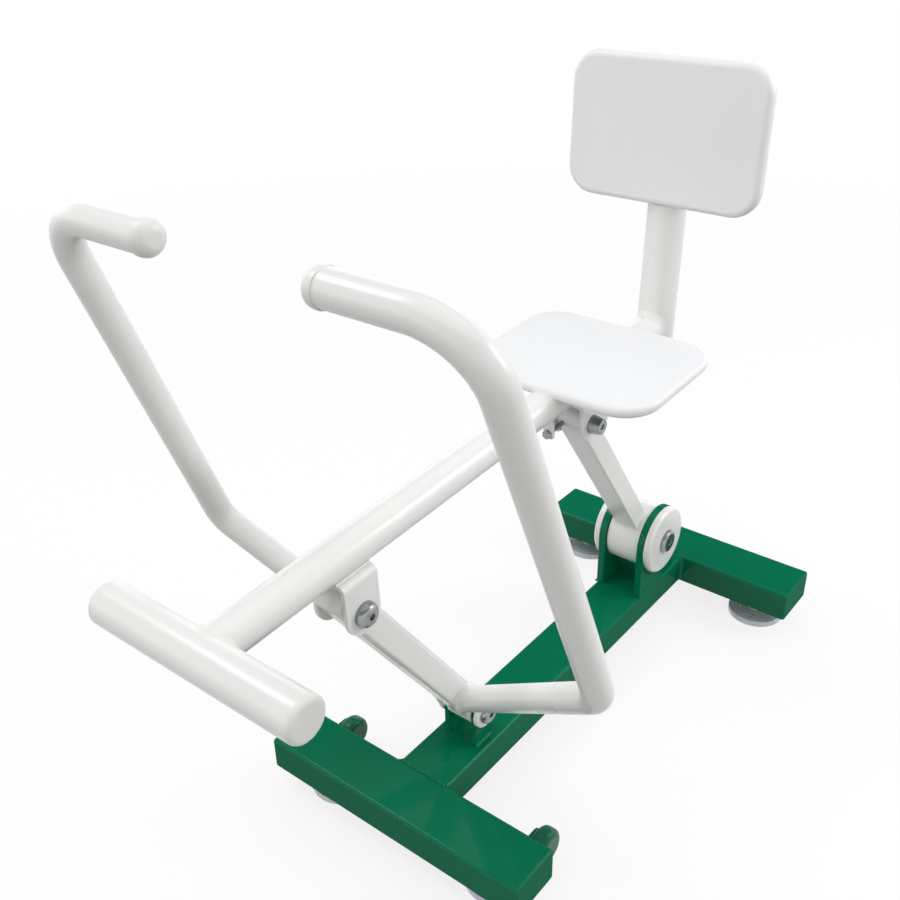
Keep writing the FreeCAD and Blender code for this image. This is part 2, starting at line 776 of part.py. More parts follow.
def build_lever():
    """Lever bar on its hub barrel, with the sleeve and bush of its upper pivot."""
    frame = layout.lever
    barrel = sleeve("front_barrel", "front_barrel_dia / 2", "front_barrel_bore / 2", "front_barrel_length")
    keep(placed(barrel, frame), "front_hub_barrel")
    bush = cut(
        "front_bush",
        cylinder("front_bush_outer", "front_barrel_bore / 2", "front_barrel_length / 2 - side_gap"),
        cylinder("front_bush_bore", "pivot_bolt_dia / 2 + running_gap", "front_barrel_length"),
    )
    bush.Placement = frame.multiply(spot(y=dim.side_gap, rotation=ALONG_Y))
    keep(pair("front_bush_pair", bush), "front_hub_bushes")
    length = "link_length + lever_past - lever_plug"
    tube = hollow_bar("lever_tube", "lever_depth", "lever_width", length, "lever_wall", dim.lever_corner)
    cope = cross_pin("lever_cope", "front_barrel_dia / 2", "lever_width + 2")
    eye = cross_pin("lever_eye", "lever_sleeve_dia / 2", "lever_width + 2", z=dim.link_length)
    keep(placed(cut("lever_coped", tube, cope, eye), frame), "lever_bar")
    plug = fuse(
        "lever_plug_solid",
        bar("lever_plug_cap", "lever_depth", "lever_width", "lever_plug", dim.lever_corner),
        bar(
            "lever_plug_spigot_bar", "lever_depth - 2 * lever_wall", "lever_width - 2 * lever_wall",
            "lever_plug_spigot", dim.lever_corner - dim.lever_wall, "-lever_plug_spigot"),
    )
    keep(placed(plug, frame.multiply(spot(z=amount(length)))), "lever_end_plug")
    ring = sleeve("lever_sleeve", "lever_sleeve_dia / 2", "lever_sleeve_bore / 2", "lever_width")
    upper = frame.multiply(spot(z=dim.link_length))
    keep(placed(ring, upper), "lever_pivot_sleeve")
    liner = sleeve(
        "lever_liner", "lever_sleeve_bore / 2", "pivot_bolt_dia / 2 + running_gap",
        "lever_width + 2 * bracket_gap - 2 * bush_gap")
    keep(placed(liner, upper), "lever_pivot_bush")


def build_rocker():
    """Rocker bar on its hub barrel, with the eye and bush of its upper pivot."""
    frame = layout.rocker
    barrel = sleeve("rear_barrel", "rear_barrel_dia / 2", "rear_barrel_bore / 2", "rear_barrel_length")
    keep(placed(barrel, frame), "rear_hub_barrel")
    bearing = cut(
        "rear_bearing",
        cylinder("rear_bearing_outer", "rear_barrel_bore / 2", "rear_bearing_width"),
        cylinder("rear_bearing_bore", "rear_axle_dia / 2 + running_gap", "rear_bearing_width"),
    )
    inset = dim.rear_barrel_length / 2 - dim.rear_bearing_width
    bearing.Placement = frame.multiply(spot(y=inset, rotation=ALONG_Y))
    keep(pair("rear_bearing_pair", bearing), "rear_hub_bearings")
    tube = hollow_bar(
        "rocker_tube", "rocker_depth", "rocker_width", "link_length", "rocker_wall", dim.rocker_corner)
    foot = cross_pin("rocker_foot", "rear_barrel_dia / 2", "rocker_width + 2")
    head = cross_pin("rocker_head", "rocker_depth / 2", "rocker_width + 2", z=dim.link_length)
    keep(placed(cut("rocker_coped", tube, foot, head), frame), "rocker_bar")
    upper = frame.multiply(spot(z=dim.link_length))
    eye = sleeve("rocker_eye_tube", "rocker_depth / 2", "rocker_eye_bore / 2", "rocker_width")
    keep(placed(eye, upper), "rocker_eye")
    liner = sleeve(
        "rocker_liner", "rocker_eye_bore / 2", "pivot_bolt_dia / 2 + running_gap",
        "rocker_width + 2 * bracket_gap - 2 * bush_gap")
    keep(placed(liner, upper), "rocker_pivot_bush")


def tube_surface(name):
    """Solid that fills the main tube, for coping what is welded to it."""
    length = dim.footrest_reach - layout.post_x
    place = spot(layout.post_x, 0, dim.front_drop, ALONG_X)
    return cylinder(name, "main_tube_dia / 2", str(length), place)


def post_surface(name):
    """Solid that fills the seat post, in the carriage frame."""
    place = layout.post_local.multiply(spot(z=-dim.post_below))
    return cylinder(name, "post_dia / 2", "post_below + post_height", place)


def build_main_tube():
    """Main tube between the footrest and the seat post, and the footrest itself."""
    frame = layout.carriage
    length = dim.footrest_reach - layout.post_x
    place = spot(layout.post_x, 0, dim.front_drop, ALONG_X)
    bore = cylinder("main_bore", "main_tube_dia / 2 - main_tube_wall", str(length), place)
    across = cross_pin(
        "footrest_cope", "footrest_dia / 2", "footrest_length", dim.footrest_reach, dim.front_drop)
    tube = cut("main_coped", tube_surface("main_outer"), bore, across, post_surface("main_post_cope"))
    keep(placed(tube, frame), "main_tube")
    rest = sleeve(
        "footrest", "footrest_dia / 2", "footrest_dia / 2 - footrest_wall", "footrest_length",
        dim.footrest_reach, dim.front_drop)
    keep(placed(rest, frame), "footrest_tube")
    cap = domed("footrest_cap_head", "footrest_dia / 2", "footrest_cap", dim.footrest_cap_round)
    spigot = cylinder("footrest_cap_spigot", "footrest_dia / 2 - footrest_wall", "footrest_spigot")
    bind(spigot, Placement__Base__z="-footrest_spigot")
    plug = fuse("footrest_plug", cap, spigot)
    end = spot(dim.footrest_reach, dim.footrest_length / 2, dim.front_drop, ALONG_Y)
    plug.Placement = frame.multiply(end)
    keep(pair("footrest_plug_pair", plug), "footrest_end_caps")


def clevis(name, link_width, profile, at):
    """Inverted U of bent plate, saddled on the main tube, round a pivot of the carriage."""
    slot = f"({link_width} + 2 * bracket_gap)"
    outer = f"({slot} + 2 * bracket_thickness)"
    top = layout.tube_bottom + dim.bracket_sink - at.z
    low = 3 * dim.bracket_thickness + dim.front_bracket_half
    span = dim.seat_bracket_front + dim.seat_bracket_rear + dim.front_bracket_half
    blank = box(name + "_blank", str(2 * span), outer, str(low + top), str(-span), f"-{outer} / 2", str(-low))
    throat = box(
        name + "_throat", str(2 * span), slot, f"{low + top} - bracket_thickness",
        str(-span), f"-{slot} / 2", str(-low))
    along = runs_along(Vector(1, 0, 0))
    outside = rounded(name + "_outside", blank, dim.bracket_bend, along)
    inside = rounded(name + "_inside", throat, dim.bracket_bend - dim.bracket_thickness, along)
    bent = common(name + "_shaped", cut(name + "_bent", outside, inside), profile)
    hole = cross_pin(name + "_hole", "pivot_bolt_dia / 2 + running_gap", f"{outer} + 2")
    tube = tube_surface(name + "_saddle")
    tube.Placement = spot(-at.x, 0, -at.z).multiply(tube.Placement)
    return cut(name, bent, hole, tube)


def side_block(name, rear, front, low, high):
    """Block across the whole width, to outline a clevis seen from the side."""
    width = "4 * (lever_width + rocker_width)"
    return box(name, f"{front} + {rear}", width, str(high - low), f"-({rear})", f"-{width} / 2", str(low))


def link_bolt(name, link_width, head, place):
    """Pivot bolt of a clevis with its head on the left flange."""
    reach = f"{link_width} / 2 + bracket_gap + bracket_thickness"
    pin = bolt(name, "pivot_bolt_dia", f"2 * ({reach}) + nut_height", head)
    pin.Placement = place.multiply(spot(y=amount(reach), rotation=ALONG_Y))
    nut = cap_nut(name + "_nut")
    nut.Placement = place.multiply(spot(y=-amount(reach), rotation=AGAINST_Y))
    return pin, nut


def build_links():
    """Clevis brackets under the main tube with their pivot bolts and nuts."""
    front = Vector(0, 0, 0)
    rear = layout.rear_in_carriage
    wide = "4 * (lever_width + rocker_width)"
    top = layout.tube_top
    front_side = fuse(
        "front_side",
        side_block("front_side_block", "front_bracket_half", "front_bracket_half", 0, top),
        cross_pin("front_side_round", "front_bracket_half", wide),
    )
    bracket = clevis("front_clevis", "lever_width", front_side, front)
    keep(placed(bracket, layout.carriage), "front_bracket")
    rear_side = fuse(
        "rear_side",
        side_block("rear_side_block", "seat_bracket_rear", "seat_bracket_front", 0, top),
        side_block("rear_side_heel", "seat_bracket_rear", "0", -dim.buffer_dia, top),
        cross_pin("rear_side_round", "seat_bracket_front", wide),
    )
    frame = layout.carriage.multiply(spot(rear.x, 0, rear.z))
    bracket = clevis("seat_clevis", "rocker_width", rear_side, rear)
    keep(placed(bracket, frame), "seat_bracket")
    head = domed(
        "front_link_head", "front_link_head_dia / 2", "front_link_head_height",
        0.75 * dim.front_link_head_height)
    front_pin, front_nut = link_bolt("front_link_pin", "lever_width", head, layout.carriage)
    keep(front_pin, "front_link_bolt")
    taper = doc.addObject("Part::Cone", "seat_link_head")
    bind(taper, Radius1="seat_link_head_dia / 2", Radius2="seat_link_head_tip / 2")
    bind(taper, Height="seat_link_head_height")
    seat_pin, seat_nut = link_bolt("seat_link_pin", "rocker_width", taper, frame)
    keep(seat_pin, "seat_link_bolt")
    keep(group("link_nut_group", front_nut, seat_nut), "link_nuts")
    build_stops(frame, rear)


def build_stops(frame, rear):
    """Bolt that ends the pull on the rocker, and the rubber it comes to rest on."""
    end_lean = math.radians(dim.link_lean - dim.carriage_pitch - dim.link_travel)
    face = dim.rocker_depth / 2 / math.cos(end_lean) - dim.stop_bolt_drop * math.tan(end_lean)
    tip = face + dim.stop_gap
    top = layout.tube_bottom + dim.bracket_sink - rear.z
    foot = -dim.stop_bolt_drop - dim.stop_bolt_dia
    tab = plate("stop_tab_plate", str(top - foot), "stop_tab_width", "stop_tab_thickness", "stop_bolt_dia / 4")
    aside = -dim.stop_tab_aside
    tab.Placement = spot(dim.stop_tab_ahead, aside - dim.stop_tab_width / 2, top, ALONG_X)
    saddle = tube_surface("stop_tab_saddle")
    saddle.Placement = spot(-rear.x, 0, -rear.z).multiply(saddle.Placement)
    thread = cylinder(
        "stop_thread", "stop_bolt_dia / 2", "stop_tab_thickness + 2",
        spot(dim.stop_tab_ahead - 1, aside, -dim.stop_bolt_drop, ALONG_X))
    keep(placed(cut("stop_tab_cut", tab, saddle, thread), frame), "stop_tab")
    head_face = dim.stop_tab_ahead + dim.stop_tab_thickness
    head = hexagon("stop_head", "stop_head_width", "stop_head_height")
    screw = bolt("stop_screw", "stop_bolt_dia", str(head_face - tip), head, socket=False)
    place = frame.multiply(spot(head_face, aside, -dim.stop_bolt_drop, ALONG_X))
    keep(placed(screw, place), "stop_bolt")
    lean = math.radians(dim.link_lean - dim.carriage_pitch)
    along = Vector(math.sin(lean), 0, math.cos(lean))
    ahead = Vector(math.cos(lean), 0, -math.sin(lean))
    offset = dim.rocker_depth / 2 + dim.buffer_dia / 2 + dim.stop_gap
    middle = along * -dim.buffer_below - ahead * offset
    rubber = cross_pin("buffer", "buffer_dia / 2", "rocker_width + 2 * bracket_gap", middle.x, middle.z)
    keep(fixed_on(rubber, frame), "rest_buffer")


def fixed_on(obj, frame):
    """Moves a piece with a bound position into a frame."""
    return placed(group(obj.Name + "_held", obj), frame)


def screws(name, spots, grip):
    """Row of equal screws at the given places."""
    made = []
    for number, place in enumerate(spots, start=1):
        head = domed(
            f"{name}_head_{number}", "screw_head_dia / 2", "screw_head_height", 0.5 * dim.screw_head_height)
        made.append(placed(bolt(f"{name}_{number}", "screw_dia", grip, head, socket=False), place))
    return group(name + "_group", *made)


def screw_holes(name, spots, radius, depth):
    """Drillings for a row of screws, on the shank side of their places."""
    drills = []
    for number, place in enumerate(spots, start=1):
        below = place.multiply(spot(z=-amount(depth)))
        drills.append(cylinder(f"{name}_{number}", radius, depth, below))
    return drills


def build_seat():
    """Seat plate grooved over the main tube, held from below through two welded wings."""
    frame = layout.carriage
    middle = layout.seat_front - dim.seat_depth / 2
    radius = dim.main_tube_dia / 2
    seat_under = layout.tube_top - dim.seat_sink
    under = seat_under - dim.wing_thickness
    inner = math.sqrt(radius ** 2 - (under - dim.front_drop) ** 2)
    upward = Rotation(Vector(1, 0, 0), 180)
    spots = [
        spot(middle + x * dim.seat_screw_spacing / 2, y * dim.seat_screw_spread, under, upward)
        for x in (-1, 1) for y in (1, -1)
    ]
    grip = "wing_thickness + screw_grip"
    wing = plate("wing", "wing_length", f"wing_reach - {inner}", "wing_thickness", "wing_corner")
    wing.Placement = spot(middle - dim.wing_length / 2, inner, under)
    left_drills = screw_holes("wing_hole", spots[::2], "screw_dia / 2 + running_gap", grip)
    local_pair("seat_wings", cut("wing_drilled", wing, *left_drills), frame)
    seat = plate("seat_blank", "seat_depth", "seat_width", "seat_thickness", "seat_corner", "seat_edge")
    seat.Placement = spot(middle - dim.seat_depth / 2, -dim.seat_width / 2, seat_under)
    drills = screw_holes("seat_hole", spots, "screw_dia / 2", grip)
    groove = tube_surface("seat_groove")
    keep(placed(cut("seat_drilled", seat, groove, *drills), frame), "seat_plate")
    keep(placed(screws("seat_screw", spots, grip), frame), "seat_screws")


def build_back():
    """Seat post with its caps, cut flat for the mounting plate that carries the back plate."""
    frame = layout.post
    flat = dim.post_dia / 2 - dim.post_flat
    face = flat + dim.mount_thickness
    centre = dim.back_rise + dim.back_height / 2
    outer = bind(
        cylinder("post_outer", "post_dia / 2", "post_below + post_height"), Placement__Base__z="-post_below")
    bore = bind(
        cylinder("post_bore", "post_dia / 2 - post_wall", "post_below + post_height"),
        Placement__Base__z="-post_below")
    relief = box(
        "post_relief", "post_dia", "2 * post_dia", "post_height",
        "post_dia / 2 - post_flat", "-post_dia", "back_rise - back_relief")
    keep(placed(cut("post_tube", outer, bore, relief), frame), "seat_post")
    low_cap = post_cap("low")
    low_cap.Placement = frame.multiply(spot(z=-dim.post_below, rotation=Rotation(Vector(1, 0, 0), 180)))
    high_cap = post_cap("high")
    high_cap.Placement = spot(z=dim.post_height)
    trimmed = placed(cut("post_cap_trimmed", high_cap, relief), frame)
    keep(group("post_cap_group", low_cap, trimmed), "post_caps")
    backward = tilted(-90)
    spots = [
        spot(flat, y * dim.back_screw_spread, centre + z * dim.back_screw_spacing / 2, backward)
        for z in (-1, 1) for y in (1, -1)
    ]
    grip = "mount_thickness + screw_grip"
    mount = plate("mount_blank", "mount_height", "mount_width", "mount_thickness", "mount_corner")
    mount_top = dim.back_rise - dim.back_relief + dim.mount_height
    mount.Placement = spot(flat, -dim.mount_width / 2, mount_top, ALONG_X)
    mount_drills = screw_holes("mount_hole", spots, "screw_dia / 2 + running_gap", grip)
    keep(placed(cut("mount_drilled", mount, *mount_drills), frame), "back_mount_plate")
    back = plate("back_blank", "back_height", "back_width", "back_thickness", "back_corner", "back_edge")
    back.Placement = spot(face, -dim.back_width / 2, centre + dim.back_height / 2, ALONG_X)
    back_drills = screw_holes("back_hole", spots, "screw_dia / 2", grip)
    keep(placed(cut("back_drilled", back, *back_drills), frame), "back_plate")
    keep(placed(screws("back_screw", spots, grip), frame), "back_screws")


def post_cap(tag):
    """Plug for one end of the seat post, its head above Z = 0."""
    head = domed(f"post_cap_{tag}_head", "post_dia / 2", "post_cap", dim.post_cap_round)
    spigot = cylinder(f"post_cap_{tag}_spigot", "post_dia / 2 - post_wall", "post_cap_spigot")
    bind(spigot, Placement__Base__z="-post_cap_spigot")
    return fuse(f"post_cap_{tag}", head, spigot)


def check_document():
    """Stops the build when any object failed or any node has a bad shape."""
    doc.recompute()
    failed = [obj.Name for obj in doc.Objects if {"Invalid", "Error"} & set(obj.State)]
    if failed:
        raise RuntimeError("objects failed: " + ", ".join(failed))
    broken = [obj.Label for obj in nodes if obj.Shape.isNull() or not obj.Shape.isValid()]
    if broken:
        raise RuntimeError("bad shapes: " + ", ".join(broken))


def export_nodes():
    os.makedirs("parts", exist_ok=True)
    for obj in nodes:
        obj.Shape.exportStep(f"parts/{obj.Label}.step")


build_frame()
build_front_pivot()
build_rear_pivot()
build_wheels()
build_feet()
build_lever()
build_handles()
build_rocker()
build_main_tube()
build_links()
build_seat()
build_back()
check_document()
export_nodes()
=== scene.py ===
"""Looks of an outdoor seated rowing station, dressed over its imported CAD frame."""

import json
import logging
import math
from dataclasses import dataclass, field, replace
from enum import Enum
from typing import Any

import bmesh
import bpy
from mathutils import Matrix, Vector

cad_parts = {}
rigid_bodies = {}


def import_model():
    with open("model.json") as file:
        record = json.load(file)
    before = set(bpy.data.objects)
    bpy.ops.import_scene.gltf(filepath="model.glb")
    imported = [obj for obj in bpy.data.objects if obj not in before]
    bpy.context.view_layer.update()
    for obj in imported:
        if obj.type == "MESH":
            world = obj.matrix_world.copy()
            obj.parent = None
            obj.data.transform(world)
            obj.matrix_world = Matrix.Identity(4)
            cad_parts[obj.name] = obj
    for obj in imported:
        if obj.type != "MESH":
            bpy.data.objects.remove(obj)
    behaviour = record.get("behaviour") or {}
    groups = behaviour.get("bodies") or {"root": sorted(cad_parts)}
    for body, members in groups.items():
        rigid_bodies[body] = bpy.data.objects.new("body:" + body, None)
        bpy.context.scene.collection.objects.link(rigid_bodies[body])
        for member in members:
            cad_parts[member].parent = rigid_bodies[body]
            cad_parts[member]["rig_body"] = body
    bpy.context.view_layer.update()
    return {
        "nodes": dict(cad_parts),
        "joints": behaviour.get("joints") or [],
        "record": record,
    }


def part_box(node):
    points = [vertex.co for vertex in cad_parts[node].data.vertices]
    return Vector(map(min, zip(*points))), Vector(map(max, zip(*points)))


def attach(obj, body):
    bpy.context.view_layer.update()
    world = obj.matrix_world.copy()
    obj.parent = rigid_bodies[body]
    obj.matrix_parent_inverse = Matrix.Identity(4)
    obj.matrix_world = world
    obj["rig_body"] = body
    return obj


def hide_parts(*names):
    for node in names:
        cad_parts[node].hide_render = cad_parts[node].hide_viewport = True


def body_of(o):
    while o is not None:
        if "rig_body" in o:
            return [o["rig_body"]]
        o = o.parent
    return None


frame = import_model()

LOG = logging.getLogger("rowing_station")
MM = 0.001
IMAGE_SIDE = 900.0
MERGE_DISTANCE = 1e-6
ALL_SMOOTH_DEG = 180.0
UP = Vector((0.0, 0.0, 1.0))
# A wave texture repeats every tenth of pi at a scale of 1.
WAVE_PERIOD = math.pi / 10.0
# How far a fillet's buried root lies below its corner, as a share of its leg.
ROOT_SHARE = 0.5
SADDLE_ROOT_SHARE = 0.4
# A mix node shares its sockets between numbers and colours, so they go by number.
MIX_FACTOR = 0
MIX_NUMBERS = (2, 3)
MIX_NUMBER_RESULT = 0
MIX_COLOURS = (6, 7)
MIX_COLOUR_RESULT = 2
# Lowest and highest of the eight corners in an object's bound_box.
BOX_LOW, BOX_HIGH = 0, 6
SIDES = (("left", 1.0), ("right", -1.0))

# The four points of a fillet's section: toe, corner, toe and buried root.
Corner = tuple[Vector, Vector, Vector, Vector]


class Slot(Enum):
    """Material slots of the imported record."""

    WHITE_PAINT = "white_paint"
    GREEN_PAINT = "green_paint"
    GREEN_PLASTIC = "green_plastic"
    WHITE_BOARD = "white_board"
    WHITE_PLASTIC = "white_plastic"
    ZINC_STEEL = "zinc_steel"
    NYLON = "nylon"
    RUBBER = "rubber"


class Body(Enum):
    """Moving bodies that carry new pieces."""

    BASE = "base"
    LEVER = "handle_lever"
    ROCKER = "rear_rocker"
    CARRIAGE = "seat_carriage"


def linear(code: str) -> tuple[float, float, float, float]:
    """Turns an sRGB hex colour into linear values.

    Args:
        code: Colour such as "#E8E8E4".

    Returns:
        Red, green, blue and a full alpha.
    """
    channels = [int(code[place:place + 2], 16) / 255.0 for place in (1, 3, 5)]
    values = [c / 12.92 if c <= 0.04045 else ((c + 0.055) / 1.055) ** 2.4 for c in channels]
    return values[0], values[1], values[2], 1.0


def per_metre(size_mm: float) -> float:
    """Texture scale that gives a pattern a real size in millimetres."""
    return 1.0 / (size_mm * MM)


def add_node(
    tree: bpy.types.NodeTree,
    kind: str,
    inputs: dict[Any, Any] | None = None,
    links: dict[Any, bpy.types.NodeSocket] | None = None,
    **options: Any,
) -> bpy.types.Node:
    """Adds a node with its settings and links.

    Args:
        tree: Node tree that receives the node.
        kind: Blender's type name of the node.
        inputs: Values of input sockets, by name or number.
        links: Sockets to link from, by the name or number of the input they reach.
        options: Properties of the node itself.

    Returns:
        The new node.
    """
    node = tree.nodes.new(kind)
    for key, value in options.items():
        setattr(node, key, value)
    for key, value in (inputs or {}).items():
        node.inputs[key].default_value = value
    for key, socket in (links or {}).items():
        tree.links.new(socket, node.inputs[key])
    return node


def empty_material(name: str) -> tuple[bpy.types.Material, bpy.types.NodeTree]:
    """Makes a node material with nothing in its tree.

    Args:
        name: Name of the material.

    Returns:
        The material and its node tree.
    """
    material = bpy.data.materials.new(name)
    material.use_nodes = True
    material.node_tree.nodes.clear()
    return material, material.node_tree


# Softness of each pattern: fine relief, slow colour drift, and the slight waver of lathe marks.
GRAIN = {"Detail": 2.0, "Roughness": 0.5}
DRIFT = {"Detail": 3.0, "Roughness": 0.55}
WAVER = {"Distortion": 0.4, "Detail": 1.0}


@dataclass(frozen=True)
class Finish:
    """One real surface: two close colours that drift into each other, a gloss and a fine relief, which a
    finish can also paint into its colour as shade in the hollows and highlight on the crests.
    """

    name: str
    light: str
    dark: str
    roughness: float
    roughness_spread: float
    drift_mm: float
    relief_mm: float
    relief_depth_mm: float
    metallic: float = 0.0
    ior: float = 1.5
    specular: float = 0.5
    coat: float = 0.0
    coat_roughness: float = 0.05
    coat_ior: float = 1.5
    # Share of the relief painted into the colour: painted shade in its hollows and painted highlight on its
    # crests.
    relief_painted_light: float = 0.0

    def height(self, tree: bpy.types.NodeTree, place: bpy.types.NodeSocket) -> bpy.types.NodeSocket:
        """Fine relief of the surface.

        Args:
            tree: Node tree of the material.
            place: Object coordinates.

        Returns:
            The height, from 0 to 1.
        """
        grain = add_node(
            tree, "ShaderNodeTexNoise",
            {"Scale": per_metre(self.relief_mm), **GRAIN}, {"Vector": place})
        return grain.outputs["Fac"]

    def material(self) -> bpy.types.Material:
        """Builds the finish as a material.

        Returns:
            The material, patterned on object coordinates.
        """
        made, tree = empty_material(self.name)
        place = add_node(tree, "ShaderNodeTexCoord").outputs["Object"]
        drift = add_node(
            tree, "ShaderNodeTexNoise",
            {"Scale": per_metre(self.drift_mm), **DRIFT}, {"Vector": place})
        height = self.height(tree, place)
        # Slow colour drift, with the relief mixed in as painted shade in hollows and painted highlight on
        # crests where a finish asks for it.
        drift_and_painted_light = add_node(
            tree, "ShaderNodeMix", {MIX_FACTOR: self.relief_painted_light},
            dict(zip(MIX_NUMBERS, (drift.outputs["Fac"], height))))
        colour = add_node(
            tree, "ShaderNodeMix",
            dict(zip(MIX_COLOURS, (linear(self.light), linear(self.dark)))),
            {MIX_FACTOR: drift_and_painted_light.outputs[MIX_NUMBER_RESULT]}, data_type="RGBA")
        spread = self.roughness_spread
        gloss = add_node(
            tree, "ShaderNodeMapRange",
            {"To Min": self.roughness - spread, "To Max": self.roughness + spread},
            {"Value": drift.outputs["Fac"]})
        bump = add_node(
            tree, "ShaderNodeBump",
            {"Strength": 1.0, "Distance": self.relief_depth_mm * MM},
            {"Height": height})
        shader = add_node(
            tree, "ShaderNodeBsdfPrincipled",
            {
                "Metallic": self.metallic,
                "IOR": self.ior,
                "Specular IOR Level": self.specular,
                "Coat Weight": self.coat,
                "Coat Roughness": self.coat_roughness,
                "Coat IOR": self.coat_ior,
            },
            {
                "Base Color": colour.outputs[MIX_COLOUR_RESULT],
                "Roughness": gloss.outputs["Result"],
                "Normal": bump.outputs["Normal"],
            })
        add_node(tree, "ShaderNodeOutputMaterial", links={"Surface": shader.outputs["BSDF"]})
        return made


class Lathe(Enum):
    """Marks that turning leaves round an upright axis."""

    FACING = "RINGS"
    THREAD = "BANDS"


@dataclass(frozen=True)
class TurnedFinish(Finish):
    """Finish of a lathe-turned piece, with facing rings or a thread round its own axis."""

    axis: tuple[float, float] = (0.0, 0.0)
    lathe: Lathe = Lathe.FACING

    def height(self, tree: bpy.types.NodeTree, place: bpy.types.NodeSocket) -> bpy.types.NodeSocket:
        """Relief of the turning marks.

        Args:
            tree: Node tree of the material.
            place: Object coordinates.

        Returns:
            The height, from 0 to 1.
        """
        centred = add_node(
            tree, "ShaderNodeMapping", {"Location": (-self.axis[0], -self.axis[1], 0.0)}, {"Vector": place})
        marks = add_node(
            tree, "ShaderNodeTexWave",
            {"Scale": per_metre(self.relief_mm) * WAVE_PERIOD, **WAVER},
            {"Vector": centred.outputs["Vector"]},
            wave_type=self.lathe.value, bands_direction="Z", rings_direction="Z")
        return marks.outputs["Fac"]


# Polyester powder coat over steel tube: soft gloss with a faint orange peel, a little warm.
WHITE_COAT = Finish("white_powder_coat", "#F1F1F0", "#EDEDEB", 0.28, 0.02, 160.0, 2.6, 0.010, coat=0.12)
# Enamel on the base: deep and glossy, with long soft reflections.
GREEN_COAT = Finish(
    "green_gloss_enamel", "#067351", "#04694A", 0.35, 0.04, 220.0, 3.2, 0.006,
    specular=0.0, coat=0.07, coat_roughness=0.06, coat_ior=2.4)
# Injection-moulded wheel plastic: close to the paint, a little duller.
GREEN_WHEEL = Finish(
    "green_moulded_plastic", "#0C694A", "#095A3E", 0.26, 0.04, 30.0, 0.8, 0.010, specular=0.2)
# Pressed high-density polyethylene board: clean white with a fine satin grain.
WHITE_SHEET = Finish("white_polyethylene_board", "#F3F4F5", "#EEEFF1", 0.36, 0.04, 120.0, 1.2, 0.012)
# Moulded end plugs: plain white polyethylene.
WHITE_CAP = Finish("white_moulded_plugs", "#F0F0EE", "#E9E8E5", 0.34, 0.03, 40.0, 1.0, 0.010)
# Bright zinc plate on machined steel: cool grey, with a slight bloom.
BRIGHT_ZINC = Finish("bright_zinc_plate", "#A6A9AB", "#7F8285", 0.30, 0.06, 9.0, 0.6, 0.006, metallic=1.0)
# Zinc plate over the facing rings that a lathe leaves on the pads, drawn coarse enough to show; the rings are
# also painted into the colour, pale crests as painted highlights and dark grooves as painted shade.
SPUN_ZINC = TurnedFinish(
    "spun_zinc_plate", "#F0F4F7", "#B4BDC5", 0.30, 0.06, 14.0, 6.0, 0.30, metallic=0.3, relief_painted_light=0.8)
# Zinc plate over a coarse rolled thread.
ROLLED_THREAD = TurnedFinish(
    "rolled_thread_zinc", "#B9BDC1", "#9DA2A6", 0.30, 0.05, 9.0, 2.0, 0.6, metallic=1.0, lathe=Lathe.THREAD)
# Turned polyamide bushes: dull ivory.
IVORY_NYLON = Finish("turned_polyamide", "#DAD6CB", "#CBC6B8", 0.50, 0.05, 12.0, 0.7, 0.02)
# Moulded rubber: near black and matt.
BLACK_RUBBER = Finish("moulded_rubber", "#232323", "#1B1B1B", 0.75, 0.05, 8.0, 0.6, 0.04)

FINISHES = {
    Slot.WHITE_PAINT: WHITE_COAT,
    Slot.GREEN_PAINT: GREEN_COAT,
    Slot.GREEN_PLASTIC: GREEN_WHEEL,
    Slot.WHITE_BOARD: WHITE_SHEET,
    Slot.WHITE_PLASTIC: WHITE_CAP,
    Slot.ZINC_STEEL: BRIGHT_ZINC,
    Slot.NYLON: IVORY_NYLON,
    Slot.RUBBER: BLACK_RUBBER,
}


class PaintShop:
    """Makes each finish once and puts it on nodes and new pieces."""

    def __init__(self) -> None:
        """Builds every finish."""
        self.materials = {slot: finish.material() for slot, finish in FINISHES.items()}

    def coat(self, piece: bpy.types.Object, slot: Slot) -> None:
        """Gives a piece the material of a slot as its only one."""
        self.dress(piece, self.materials[slot])

    def dress(self, piece: bpy.types.Object, material: bpy.types.Material) -> None:
        """Gives a piece a material as its only one."""
        piece.data.materials.clear()
        piece.data.materials.append(material)

    def coat_nodes(self) -> None:
        """Dresses every CAD node by the slot that the record gives it."""
        for row in frame["record"]["subparts"]:
            self.coat(frame["nodes"][row["node"]], Slot(row["material_slot"]))

    def turn(self, piece: bpy.types.Object, finish: TurnedFinish) -> None:
        """Dresses a turned piece with its finish centred on the piece's upright axis.

        Args:
            piece: Turned piece, in place.
            finish: Finish to centre.
        """
        middle = (Vector(piece.bound_box[BOX_LOW]) + Vector(piece.bound_box[BOX_HIGH])) / 2
        centred = replace(finish, name=f"{finish.name}_{piece.name}", axis=(middle.x, middle.y))
        self.dress(piece, centred.material())


def joint_place(name: str) -> Vector:
    """Pivot point of a joint at rest, in metres."""
    joint = next(item for item in frame["joints"] if item["name"] == name)
    return Vector(joint["pos_m"])


def leaning(place: Vector, degrees: float) -> Matrix:
    """Frame at a place whose Z axis leans forward by an angle."""
    return Matrix.Translation(place) @ Matrix.Rotation(math.radians(degrees), 4, "Y")


